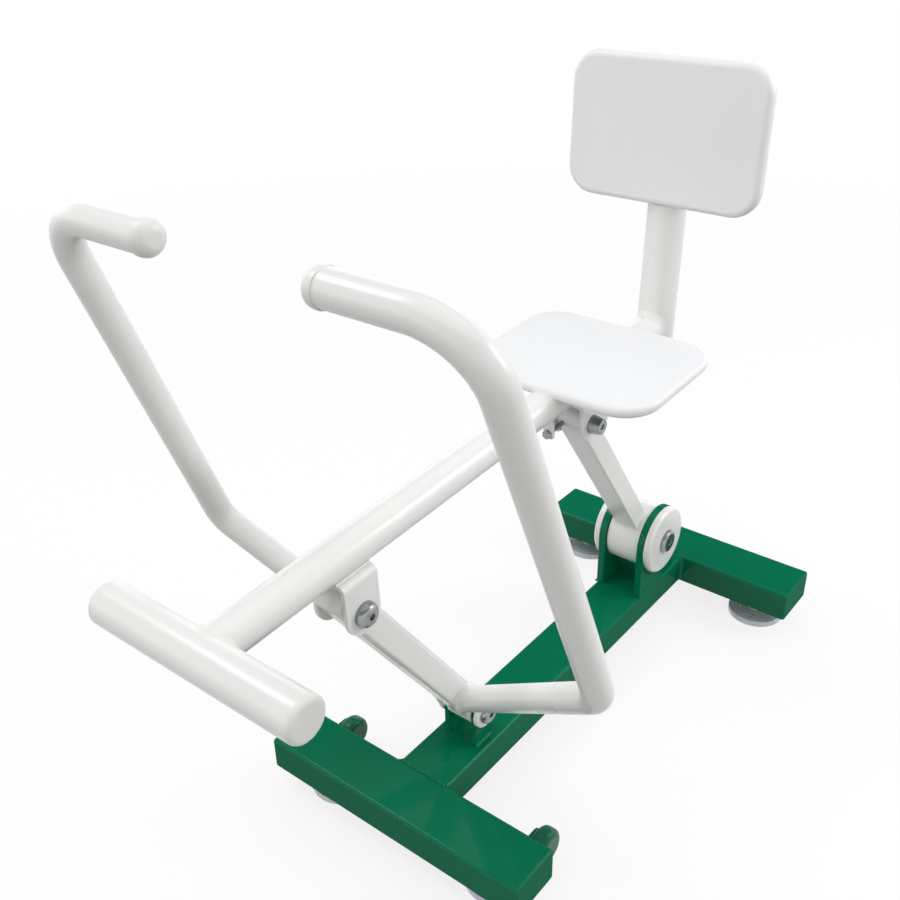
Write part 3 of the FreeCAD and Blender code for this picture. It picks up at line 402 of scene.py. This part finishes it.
@dataclass(frozen=True)
class SaddleWeld:
    """Fillet where a round branch meets a round main tube."""

    centre: Vector
    main: Vector
    branch: Vector
    main_radius: float
    branch_radius: float
    closed: bool = True

    def length(self) -> float:
        """Rough length of the run."""
        return math.tau * self.branch_radius

    def corner(self, share: float, leg: float) -> Corner:
        """Corner of the fillet at a share of the run.

        Args:
            share: Way round the branch, from 0 to 1.
            leg: Reach of the fillet along each tube.

        Returns:
            The toe on the branch, the corner, the toe on the main tube and the buried root.
        """
        across = self.main.cross(self.branch).normalized()
        outward = across.cross(self.main).normalized()
        upright = self.branch.cross(across).normalized()
        angle = math.tau * share
        side = self.branch_radius * math.sin(angle)
        rise = self.branch_radius * math.cos(angle)
        depth = math.sqrt(self.main_radius ** 2 - side ** 2)
        reach = (depth - rise * upright.dot(outward)) / self.branch.dot(outward)
        radial = upright * math.cos(angle) + across * math.sin(angle)
        meet = self.centre + radial * self.branch_radius + self.branch * reach
        turn = math.asin(side / self.main_radius) + leg * math.sin(angle) / self.main_radius
        along = (meet - self.centre).dot(self.main) + leg * math.cos(angle) * upright.dot(self.main)
        toe = self.centre + self.main * along
        toe += (across * math.sin(turn) + outward * math.cos(turn)) * self.main_radius
        root = meet - (radial + self.branch) * leg * SADDLE_ROOT_SHARE
        return meet + self.branch * leg, meet, toe, root


@dataclass(frozen=True)
class CollarWeld:
    """Fillet where a slanting round tube meets a flat side."""

    foot: Vector
    heading: Vector
    face: Vector
    radius: float
    wrap: float
    reach: float
    closed: bool = True

    def length(self) -> float:
        """Rough length of the run."""
        return math.tau * self.radius

    def corner(self, share: float, leg: float) -> Corner:
        """Corner of the fillet at a share of the run.

        Args:
            share: Way round the tube, from 0 to 1.
            leg: Reach of the fillet along the face.

        Returns:
            The toe on the tube, the corner, the toe on the face and the buried root.
        """
        side = self.heading.cross(self.face).normalized()
        over = side.cross(self.heading).normalized()
        angle = math.tau * share
        radial = side * math.cos(angle) + over * math.sin(angle)
        slide = -self.radius * radial.dot(self.face) / self.heading.dot(self.face)
        meet = self.foot + radial * self.radius + self.heading * slide
        spread = (radial - self.face * radial.dot(self.face)).normalized()
        toe = meet + spread * leg - self.face * self.wrap
        root = meet - radial * leg * ROOT_SHARE - self.face * self.wrap
        return meet + self.heading * self.reach, meet, toe, root


@dataclass(frozen=True)
class SocketWeld:
    """Fillet round a square bar that stands on a barrel along its frame's Y axis."""

    place: Matrix
    half_depth: float
    half_width: float
    bar_corner: float
    barrel_radius: float
    flat_share: float = 0.3
    barrel_limit: float = 0.99
    closed: bool = True

    def length(self) -> float:
        """Rough length of the run."""
        return 4.0 * (self.half_depth + self.half_width)

    def outline(self, share: float) -> tuple[Vector, Vector]:
        """Point of the bar's rounded outline and its outward direction.

        Each quarter of the way is half a flat, a rounded corner and half of the next flat.

        Args:
            share: Way round the bar, from 0 to 1.

        Returns:
            The point and the direction, with no height.
        """
        quarter = int(share * 4.0) % 4
        within = share * 4.0 - int(share * 4.0)
        signs = ((1, 1), (-1, 1), (-1, -1), (1, -1))[quarter]
        flat_x = self.half_depth - self.bar_corner
        flat_y = self.half_width - self.bar_corner
        before, after = (flat_y, flat_x) if quarter % 2 == 0 else (flat_x, flat_y)
        next_flat = 1.0 - self.flat_share
        bend = (within - self.flat_share) / (next_flat - self.flat_share)
        turn = math.radians(90.0 * (quarter + min(max(bend, 0.0), 1.0)))
        out = Vector((math.cos(turn), math.sin(turn), 0.0))
        middle = Vector((signs[0] * flat_x, signs[1] * flat_y, 0.0))
        run = 0.0
        if within < self.flat_share:
            run = -before * (1.0 - within / self.flat_share)
        elif within > next_flat:
            run = after * (within - next_flat) / self.flat_share
        return middle + Vector((-out.y, out.x, 0.0)) * run + out * self.bar_corner, out

    def barrel_height(self, across: float) -> float:
        """Height of the barrel's surface at a distance from its crown line."""
        limit = self.barrel_limit * self.barrel_radius
        return math.sqrt(self.barrel_radius ** 2 - min(abs(across), limit) ** 2)

    def corner(self, share: float, leg: float) -> Corner:
        """Corner of the fillet at a share of the run.

        Args:
            share: Way round the bar, from 0 to 1.
            leg: Reach of the fillet along the bar and the barrel.

        Returns:
            The toe on the bar, the corner, the toe on the barrel and the buried root.
        """
        point, out = self.outline(share)
        wide = point + out * leg
        meet, toe = (Vector((spot.x, spot.y, self.barrel_height(spot.x))) for spot in (point, wide))
        root = meet - (out + UP) * leg * ROOT_SHARE
        return self.place @ (meet + UP * leg), self.place @ meet, self.place @ toe, self.place @ root


@dataclass(frozen=True)
class SeamWeld:
    """Straight fillet between two faces."""

    start: Vector
    end: Vector
    first: Vector
    second: Vector
    closed: bool = False

    def length(self) -> float:
        """Length of the run."""
        return (self.end - self.start).length

    def corner(self, share: float, leg: float) -> Corner:
        """Corner of the fillet at a share of the run.

        Args:
            share: Way along the run, from 0 to 1.
            leg: Reach of the fillet along each face.

        Returns:
            The toe on the first face, the corner, the toe on the second face and the buried root.
        """
        meet = self.start.lerp(self.end, share)
        root = meet - (self.first + self.second) * leg * ROOT_SHARE
        return meet + self.first * leg, meet, meet + self.second * leg, root


@dataclass(frozen=True)
class ButtWeld:
    """Narrow joint line between two level faces, crowned, or hollow where the crown is below zero."""

    start: Vector
    end: Vector
    across: Vector
    crown: float
    depth: float
    closed: bool = False

    def length(self) -> float:
        """Length of the run."""
        return (self.end - self.start).length

    def corner(self, share: float, leg: float) -> Corner:
        """Section of the joint line at a share of the run.

        Args:
            share: Way along the run, from 0 to 1.
            leg: Reach of the joint line to each side.

        Returns:
            The toe on one face, the crown, the toe on the other face and the buried root.
        """
        middle = self.start.lerp(self.end, share)
        side = self.across * leg
        return middle + side, middle + UP * self.crown, middle - side, middle - UP * self.depth


Weld = SaddleWeld | CollarWeld | SocketWeld | SeamWeld | ButtWeld


@dataclass
class Welder:
    """Lays painted weld fillets and hands them to their bodies."""

    shop: PaintShop
    ripple_mm: float = 4.5
    least_ripples: int = 3
    ripple_share: float = 0.07
    hollow: float = 0.55
    section_steps: int = 10
    stations_per_ripple: int = 4
    crisp_deg: float = 50.0
    made: list[bpy.types.Object] = field(default_factory=list)

    def section(self, corner: Corner, share: float) -> Vector:
        """Point of a fillet's closed section.

        Args:
            corner: Toe, corner, toe and root of the section.
            share: Way round the section; the first half is the open face.

        Returns:
            The point.
        """
        first, meet, second, root = corner
        if share <= 0.5:
            way = share * 2.0
            pull = first.lerp(second, 0.5).lerp(meet, self.hollow)
            return first * (1.0 - way) ** 2 + pull * 2.0 * way * (1.0 - way) + second * way ** 2
        if share <= 0.75:
            return second.lerp(root, (share - 0.5) * 4.0)
        return root.lerp(first, (share - 0.75) * 4.0)

    def lay(self, name: str, weld: Weld, leg_mm: float, body: Body, slot: Slot) -> None:
        """Lays one weld run.

        Args:
            name: Name of the piece.
            weld: Line that the run follows.
            leg_mm: Reach of the fillet along each part.
            body: Body that carries the run.
            slot: Paint over the run.
        """
        ripples = max(self.least_ripples, round(weld.length() / (self.ripple_mm * MM)))
        stations = ripples * self.stations_per_ripple
        mesh = bmesh.new()
        bmesh.ops.create_grid(mesh, x_segments=stations, y_segments=self.section_steps, size=0.5)
        for vert in mesh.verts:
            along = vert.co.x + 0.5
            swell = 1.0 + self.ripple_share * math.cos(math.tau * ripples * along)
            corner = weld.corner(along % 1.0 if weld.closed else along, leg_mm * MM * swell)
            vert.co = self.section(corner, (vert.co.y + 0.5) % 1.0)
        bmesh.ops.remove_doubles(mesh, verts=mesh.verts, dist=MERGE_DISTANCE)
        rims = [edge for edge in mesh.edges if edge.is_boundary]
        if rims:
            bmesh.ops.holes_fill(mesh, edges=rims, sides=0)
        bmesh.ops.recalc_face_normals(mesh, faces=mesh.faces)
        piece = finished(name, mesh, self.crisp_deg)
        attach(piece, body.value)
        self.shop.coat(piece, slot)
        self.made.append(piece)


def finished(name: str, mesh: bmesh.types.BMesh, crisp_deg: float = ALL_SMOOTH_DEG) -> bpy.types.Object:
    """Turns a bmesh into a smooth-shaded object at the origin.

    Args:
        name: Name of the piece.
        mesh: Shape of the piece, which is freed.
        crisp_deg: Angle from which an edge stays crisp.

    Returns:
        The new object, linked to the scene.
    """
    for face in mesh.faces:
        face.smooth = True
    for edge in mesh.edges:
        edge.smooth = edge.calc_face_angle(0.0) < math.radians(crisp_deg)
    data = bpy.data.meshes.new(name)
    mesh.to_mesh(data)
    mesh.free()
    piece = bpy.data.objects.new(name, data)
    bpy.context.scene.collection.objects.link(piece)
    return piece


@dataclass
class EdgeEaser:
    """Stands in for sharp CAD nodes with copies whose edges are broken, as a file leaves them."""

    shop: PaintShop
    sharp_deg: float = 38.0
    flat_deg: float = 0.4
    segments: int = 3
    made: list[bpy.types.Object] = field(default_factory=list)

    def ease(self, node: str, radius_mm: float) -> bpy.types.Object:
        """Replaces a node with a copy that has rounded edges.

        Args:
            node: Name of the CAD node.
            radius_mm: How far the edges are rounded.

        Returns:
            The eased piece.
        """
        source = frame["nodes"][node]
        mesh = bmesh.new()
        mesh.from_mesh(source.data)
        bmesh.ops.remove_doubles(mesh, verts=mesh.verts, dist=MERGE_DISTANCE)
        bmesh.ops.dissolve_limit(
            mesh, angle_limit=math.radians(self.flat_deg), verts=mesh.verts, edges=mesh.edges)
        sharp = [
            edge for edge in mesh.edges
            if edge.is_manifold and edge.calc_face_angle() > math.radians(self.sharp_deg)]
        bmesh.ops.bevel(
            mesh, geom=sharp, offset=radius_mm * MM, offset_type="OFFSET", affect="EDGES",
            segments=self.segments, profile=0.5, material=-1, clamp_overlap=True)
        piece = finished(f"eased_{node}", mesh)
        keeper = piece.modifiers.new("flat_faces", "WEIGHTED_NORMAL")
        keeper.keep_sharp = True
        slot = next(row["material_slot"] for row in frame["record"]["subparts"] if row["node"] == node)
        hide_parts(node)
        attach(piece, body_of(source)[0])
        self.shop.coat(piece, Slot(slot))
        self.made.append(piece)
        return piece


@dataclass
class BaseFrame:
    """Green base: crossbeams, spine, pivot ears and cheeks, wheels and levelling feet."""

    welder: Welder
    easer: EdgeEaser
    beam_corner_mm: float = 6.0
    seam_leg_mm: float = 5.0
    lug_leg_mm: float = 3.5
    pad_edge_mm: float = 1.2
    bead_leg_mm: float = 2.2
    bead_crown_mm: float = -4.5
    bead_depth_mm: float = 7.0
    edges_mm: tuple[tuple[str, float], ...] = (
        ("front_pivot_ears", 1.2),
        ("rear_pivot_cheeks", 1.6),
        ("front_pivot_rings", 0.7),
        ("rear_pivot_discs", 1.2),
        ("front_pivot_bolt", 0.6),
        ("front_pivot_nut", 0.6),
        ("rear_pivot_bolts", 0.8),
        ("wheel_brackets", 1.0),
        ("foot_nuts", 0.7),
    )

    def build(self) -> None:
        """Lays the welds, breaks the sharp edges and dresses the feet."""
        self.weld_spine()
        self.weld_plates()
        for node, radius in self.edges_mm:
            self.easer.ease(node, radius)
        for corner in ("front_left", "front_right", "rear_left", "rear_right"):
            pad = self.easer.ease(f"foot_pad_{corner}", self.pad_edge_mm)
            self.welder.shop.turn(pad, SPUN_ZINC)
            self.welder.shop.turn(frame["nodes"][f"foot_stud_{corner}"], ROLLED_THREAD)

    def weld_spine(self) -> None:
        """Lays the seams and joint lines between the spine and the crossbeams."""
        low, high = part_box("spine_beam")
        leg = self.seam_leg_mm * MM
        corner = self.beam_corner_mm * MM
        for end, x, inward in (("front", high.x, -1.0), ("rear", low.x, 1.0)):
            along = Vector((inward, 0.0, 0.0))
            for side, y, outward in (("left", high.y, 1.0), ("right", low.y, -1.0)):
                self.welder.lay(
                    f"{end}_spine_seam_{side}",
                    SeamWeld(
                        Vector((x, y, low.z + leg)), Vector((x, y, high.z - corner / 2)),
                        along, Vector((0.0, outward, 0.0))),
                    self.seam_leg_mm, Body.BASE, Slot.GREEN_PAINT)
            middle = x - inward * corner / 4
            first, last = (Vector((middle, y, high.z)) for y in (low.y + corner / 2, high.y - corner / 2))
            self.welder.lay(
                f"{end}_spine_bead",
                ButtWeld(first, last, along, self.bead_crown_mm * MM, self.bead_depth_mm * MM),
                self.bead_leg_mm, Body.BASE, Slot.GREEN_PAINT)

    def weld_plates(self) -> None:
        """Lays the seams of the ears and cheeks that stand on the spine."""
        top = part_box("spine_beam")[1].z
        for node in ("front_pivot_ears", "rear_pivot_cheeks"):
            low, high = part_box(node)
            for side, y, outward in (("left", high.y, 1.0), ("right", low.y, -1.0)):
                self.welder.lay(
                    f"{node}_seam_{side}",
                    SeamWeld(
                        Vector((low.x, y, top)), Vector((high.x, y, top)),
                        UP, Vector((0.0, outward, 0.0))),
                    self.lug_leg_mm, Body.BASE, Slot.GREEN_PAINT)


@dataclass
class HandleLever:
    """White lever with its hub barrel and the two bent handles."""

    welder: Welder
    easer: EdgeEaser
    rake_deg: float = 22.96
    arm_joint_mm: float = 46.0
    lever_width_mm: float = 42.0
    lever_corner_mm: float = 7.0
    arm_radius_mm: float = 19.0
    elbow_mm: tuple[float, float, float] = (22.5, 312.0, 291.5)
    collar_leg_mm: float = 5.0
    collar_wrap_mm: float = 4.0
    collar_reach_mm: float = 24.0
    socket_leg_mm: float = 2.0
    edges_mm: tuple[tuple[str, float], ...] = (
        ("front_hub_barrel", 0.8),
        ("lever_end_plug", 1.2),
    )

    def build(self) -> None:
        """Lays the welds of the arms and of the lever's foot."""
        pivot = joint_place("lever_swing")
        link = joint_place("carriage_pivot") - pivot
        lean = math.degrees(math.atan2(link.x, link.z))
        joint = pivot + link.normalized() * self.arm_joint_mm * MM
        handle = leaning(joint, self.rake_deg)
        half = self.lever_width_mm / 2 * MM
        for side, sign in SIDES:
            foot = Vector((0.0, sign * half, 0.0))
            elbow = Vector((self.elbow_mm[0], sign * self.elbow_mm[1], self.elbow_mm[2])) * MM
            heading = (handle.to_3x3() @ (elbow - foot)).normalized()
            self.welder.lay(
                f"arm_collar_{side}",
                CollarWeld(
                    handle @ foot, heading, Vector((0.0, sign, 0.0)),
                    self.arm_radius_mm * MM, self.collar_wrap_mm * MM, self.collar_reach_mm * MM),
                self.collar_leg_mm, Body.LEVER, Slot.WHITE_PAINT)
        low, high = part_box("front_hub_barrel")
        self.welder.lay(
            "lever_foot_weld",
            SocketWeld(
                leaning(pivot, lean), half, half, self.lever_corner_mm * MM, (high.z - low.z) / 2),
            self.socket_leg_mm, Body.LEVER, Slot.WHITE_PAINT)
        for node, radius in self.edges_mm:
            self.easer.ease(node, radius)


@dataclass
class RearRocker:
    """White rocker bar on its large hub barrel."""

    welder: Welder
    easer: EdgeEaser
    bar_depth_mm: float = 36.0
    bar_width_mm: float = 44.0
    bar_corner_mm: float = 2.5
    socket_leg_mm: float = 4.0
    edges_mm: tuple[tuple[str, float], ...] = (("rear_hub_barrel", 1.2), ("rocker_eye", 1.2))

    def build(self) -> None:
        """Lays the weld of the rocker's foot and breaks the hub's edges."""
        pivot = joint_place("rocker_swing")
        link = joint_place("carriage_pivot") - joint_place("lever_swing")
        lean = math.degrees(math.atan2(link.x, link.z))
        low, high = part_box("rear_hub_barrel")
        self.welder.lay(
            "rocker_foot_weld",
            SocketWeld(
                leaning(pivot, lean), self.bar_depth_mm / 2 * MM, self.bar_width_mm / 2 * MM,
                self.bar_corner_mm * MM, (high.z - low.z) / 2),
            self.socket_leg_mm, Body.ROCKER, Slot.WHITE_PAINT)
        for node, radius in self.edges_mm:
            self.easer.ease(node, radius)


@dataclass
class SeatCarriage:
    """White main tube with footrest, seat post, seat, back and clevis brackets."""

    welder: Welder
    easer: EdgeEaser
    pitch_deg: float = 2.7
    front_drop_mm: float = 76.6
    footrest_reach_mm: float = 214.4
    tube_radius_mm: float = 25.0
    footrest_radius_mm: float = 27.0
    post_radius_mm: float = 30.0
    post_lean_deg: float = 5.2
    post_behind_mm: float = 751.24
    footrest_leg_mm: float = 5.0
    post_leg_mm: float = 9.0
    bracket_sink_mm: float = 3.0
    bracket_leg_mm: float = 6.0
    front_bracket_mm: tuple[float, float] = (-29.0, 29.0)
    seat_bracket_mm: tuple[float, float] = (-557.24, -484.24)
    edges_mm: tuple[tuple[str, float], ...] = (
        ("front_bracket", 1.0),
        ("seat_bracket", 1.0),
        ("front_link_bolt", 0.8),
        ("seat_link_bolt", 1.4),
        ("link_nuts", 0.6),
        ("stop_tab", 1.0),
        ("stop_bolt", 0.6),
        ("back_mount_plate", 0.8),
        ("seat_wings", 0.8),
    )

    def build(self) -> None:
        """Lays the welds of the main tube and breaks the edges of what hangs on it."""
        carriage = leaning(joint_place("carriage_pivot"), self.pitch_deg)
        self.weld_ends(carriage)
        self.weld_brackets(carriage)
        for node, radius in self.edges_mm:
            self.easer.ease(node, radius)

    def weld_ends(self, carriage: Matrix) -> None:
        """Lays the welds at the footrest and at the seat post.

        Args:
            carriage: Frame of the carriage at its front pivot.
        """
        turn = carriage.to_3x3()
        along = turn @ Vector((1.0, 0.0, 0.0))
        footrest = carriage @ (Vector((self.footrest_reach_mm, 0.0, self.front_drop_mm)) * MM)
        self.welder.lay(
            "footrest_weld",
            SaddleWeld(
                footrest, Vector((0.0, 1.0, 0.0)), -along,
                self.footrest_radius_mm * MM, self.tube_radius_mm * MM),
            self.footrest_leg_mm, Body.CARRIAGE, Slot.WHITE_PAINT)
        post = carriage @ (Vector((-self.post_behind_mm, 0.0, self.front_drop_mm)) * MM)
        lean = Matrix.Rotation(math.radians(-self.post_lean_deg), 3, "Y")
        self.welder.lay(
            "post_weld",
            SaddleWeld(
                post, turn @ lean @ UP, along,
                self.post_radius_mm * MM, self.tube_radius_mm * MM),
            self.post_leg_mm, Body.CARRIAGE, Slot.WHITE_PAINT)

    def weld_brackets(self, carriage: Matrix) -> None:
        """Lays the seams between the brackets and the underside of the main tube.

        Args:
            carriage: Frame of the carriage at its front pivot.
        """
        turn = carriage.to_3x3()
        drop = self.tube_radius_mm - self.bracket_sink_mm
        half = math.sqrt(self.tube_radius_mm ** 2 - drop ** 2)
        height = self.front_drop_mm - drop
        for name, ends in (("front", self.front_bracket_mm), ("seat", self.seat_bracket_mm)):
            for side, sign in SIDES:
                start, end = (carriage @ (Vector((x, sign * half, height)) * MM) for x in ends)
                flat = turn @ Vector((0.0, sign, 0.0))
                round_up = turn @ Vector((0.0, sign * drop, half)).normalized()
                self.welder.lay(
                    f"{name}_bracket_seam_{side}", SeamWeld(start, end, flat, round_up),
                    self.bracket_leg_mm, Body.CARRIAGE, Slot.WHITE_PAINT)


@dataclass(frozen=True)
class Studio:
    """Plain pale floor, soft light and the photograph's camera."""

    floor_colour: str = "#FAFAF9"
    floor_bounce: str = "#67635E"
    floor_glow: float = 0.8
    glow_reach: tuple[float, float] = (1.5, 4.0)
    floor_side: float = 60.0
    low_light: float = 1.6
    mid_light: float = 0.15
    high_light: float = 1.05
    wall_rise: tuple[float, float] = (0.30, 0.50)
    ceiling_rise: tuple[float, float] = (0.68, 0.74)
    key_place: tuple[float, float, float] = (0.9, -1.6, 3.0)
    aim: tuple[float, float, float] = (0.0, 0.0, 0.45)
    key_side: float = 0.9
    key_power: float = 16.5
    fill_place: tuple[float, float, float] = (-1.7, 1.9, 1.8)
    fill_side: float = 1.0
    fill_power: float = 20.0
    camera_mm: tuple[float, float, float] = (1070.6, 747.1, 1264.4)
    azimuth_deg: float = 128.862
    elevation_deg: float = 29.18
    roll_deg: float = -1.345
    focal_px: float = 1063.1
    sensor_mm: float = 36.0

    def floor_material(self) -> bpy.types.Material:
        """Pale floor paint that throws less light back up than it shows.

        Returns:
            The material, which is white far away and keeps the shadow near the object.
        """
        made, tree = empty_material("pale_floor")
        path = add_node(tree, "ShaderNodeLightPath")
        direct = add_node(
            tree, "ShaderNodeMath",
            links={0: path.outputs["Is Camera Ray"], 1: path.outputs["Is Glossy Ray"]}, operation="MAXIMUM")
        seen = add_node(
            tree, "ShaderNodeMath",
            links={0: direct.outputs[0], 1: path.outputs["Is Transmission Ray"]}, operation="MAXIMUM")
        place = add_node(tree, "ShaderNodeTexCoord")
        away = add_node(tree, "ShaderNodeVectorMath", links={0: place.outputs["Object"]}, operation="LENGTH")
        near, far = self.glow_reach
        whiter = add_node(
            tree, "ShaderNodeMapRange",
            {"From Min": near, "From Max": far, "To Min": self.floor_glow, "To Max": 1.0},
            {"Value": away.outputs["Value"]})
        glowing = add_node(
            tree, "ShaderNodeMath",
            links={0: seen.outputs[0], 1: whiter.outputs["Result"]}, operation="MULTIPLY")
        pale = add_node(tree, "ShaderNodeBsdfDiffuse", {"Color": linear(self.floor_colour)})
        glow = add_node(tree, "ShaderNodeEmission", {"Color": linear("#FFFFFF"), "Strength": 1.0})
        bright = add_node(
            tree, "ShaderNodeMixShader",
            links={0: glowing.outputs[0], 1: pale.outputs["BSDF"], 2: glow.outputs[0]})
        bounce = add_node(tree, "ShaderNodeBsdfDiffuse", {"Color": linear(self.floor_bounce)})
        shown = add_node(
            tree, "ShaderNodeMixShader",
            links={0: seen.outputs[0], 1: bounce.outputs["BSDF"], 2: bright.outputs["Shader"]})
        add_node(tree, "ShaderNodeOutputMaterial", links={"Surface": shown.outputs["Shader"]})
        return made

    def floor(self) -> None:
        """Lays a wide floor under the object."""
        mesh = bmesh.new()
        bmesh.ops.create_grid(mesh, x_segments=1, y_segments=1, size=self.floor_side / 2)
        ground = finished("floor", mesh)
        ground.data.materials.append(self.floor_material())

    def world(self) -> None:
        """Surrounds the object with a soft room: white low down, dimmer above, bright overhead."""
        world = bpy.data.worlds.new("soft_room")
        world.use_nodes = True
        tree = world.node_tree
        tree.nodes.clear()
        place = add_node(tree, "ShaderNodeTexCoord")
        axes = add_node(tree, "ShaderNodeSeparateXYZ", links={"Vector": place.outputs["Generated"]})
        wall_foot, wall_top = self.wall_rise
        walls = add_node(
            tree, "ShaderNodeMapRange",
            {"From Min": wall_foot, "From Max": wall_top, "To Min": self.low_light, "To Max": self.mid_light},
            {"Value": axes.outputs["Z"]})
        ceiling_edge, ceiling_flat = self.ceiling_rise
        ceiling = add_node(
            tree, "ShaderNodeMapRange",
            {
                "From Min": ceiling_edge, "From Max": ceiling_flat,
                "To Min": 0.0, "To Max": self.high_light - self.mid_light,
            },
            {"Value": axes.outputs["Z"]})
        level = add_node(
            tree, "ShaderNodeMath", links={0: walls.outputs["Result"], 1: ceiling.outputs["Result"]})
        room = add_node(
            tree, "ShaderNodeBackground", {"Color": linear("#FFFFFF")}, {"Strength": level.outputs[0]})
        add_node(tree, "ShaderNodeOutputWorld", links={"Surface": room.outputs[0]})
        bpy.context.scene.world = world

    def soft_box(self, name: str, place: Vector, side: float, power: float) -> None:
        """Hangs a square soft box that faces the object.

        Args:
            name: Name of the lamp.
            place: Where it hangs.
            side: Length of its side.
            power: Its power in watts.
        """
        lamp = bpy.data.lights.new(name, "AREA")
        lamp.shape = "SQUARE"
        lamp.size = side
        lamp.energy = power
        box = bpy.data.objects.new(name, lamp)
        turn = (place - Vector(self.aim)).to_track_quat("Z", "Y")
        box.matrix_world = Matrix.Translation(place) @ turn.to_matrix().to_4x4()
        bpy.context.scene.collection.objects.link(box)

    def camera(self) -> None:
        """Stands the camera where the photograph was taken."""
        lens = bpy.data.cameras.new("camera")
        lens.sensor_width = self.sensor_mm
        lens.lens = self.focal_px / IMAGE_SIDE * self.sensor_mm
        azimuth = math.radians(self.azimuth_deg)
        elevation = math.radians(self.elevation_deg)
        back = Vector((
            math.sin(azimuth) * math.cos(elevation),
            -math.cos(azimuth) * math.cos(elevation),
            math.sin(elevation)))
        level = Vector((math.cos(azimuth), math.sin(azimuth), 0.0))
        right = Matrix.Rotation(math.radians(self.roll_deg), 3, back) @ level
        up = back.cross(right)
        turn = Matrix((right, up, back)).transposed().to_4x4()
        eye = bpy.data.objects.new("camera", lens)
        eye.matrix_world = Matrix.Translation(Vector(self.camera_mm) * MM) @ turn
        bpy.context.scene.collection.objects.link(eye)
        bpy.context.scene.camera = eye

    def build(self) -> None:
        """Sets up the whole studio."""
        bpy.context.scene.view_settings.view_transform = "Standard"
        self.floor()
        self.world()
        self.soft_box("key", Vector(self.key_place), self.key_side, self.key_power)
        self.soft_box("fill", Vector(self.fill_place), self.fill_side, self.fill_power)
        self.camera()


def write_sizes() -> None:
    """Updates the view layer."""
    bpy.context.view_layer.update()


def main() -> None:
    """Dresses the frame, adds the welds and sets up the studio."""
    logging.basicConfig(level=logging.INFO)
    shop = PaintShop()
    shop.coat_nodes()
    welder = Welder(shop)
    easer = EdgeEaser(shop)
    for assembly in (BaseFrame, HandleLever, RearRocker, SeatCarriage):
        assembly(welder, easer).build()
    for piece in welder.made + easer.made:
        LOG.info("piece %s: %d faces", piece.name, len(piece.data.polygons))
    Studio().build()
    write_sizes()


if __name__ == "__main__":
    main()
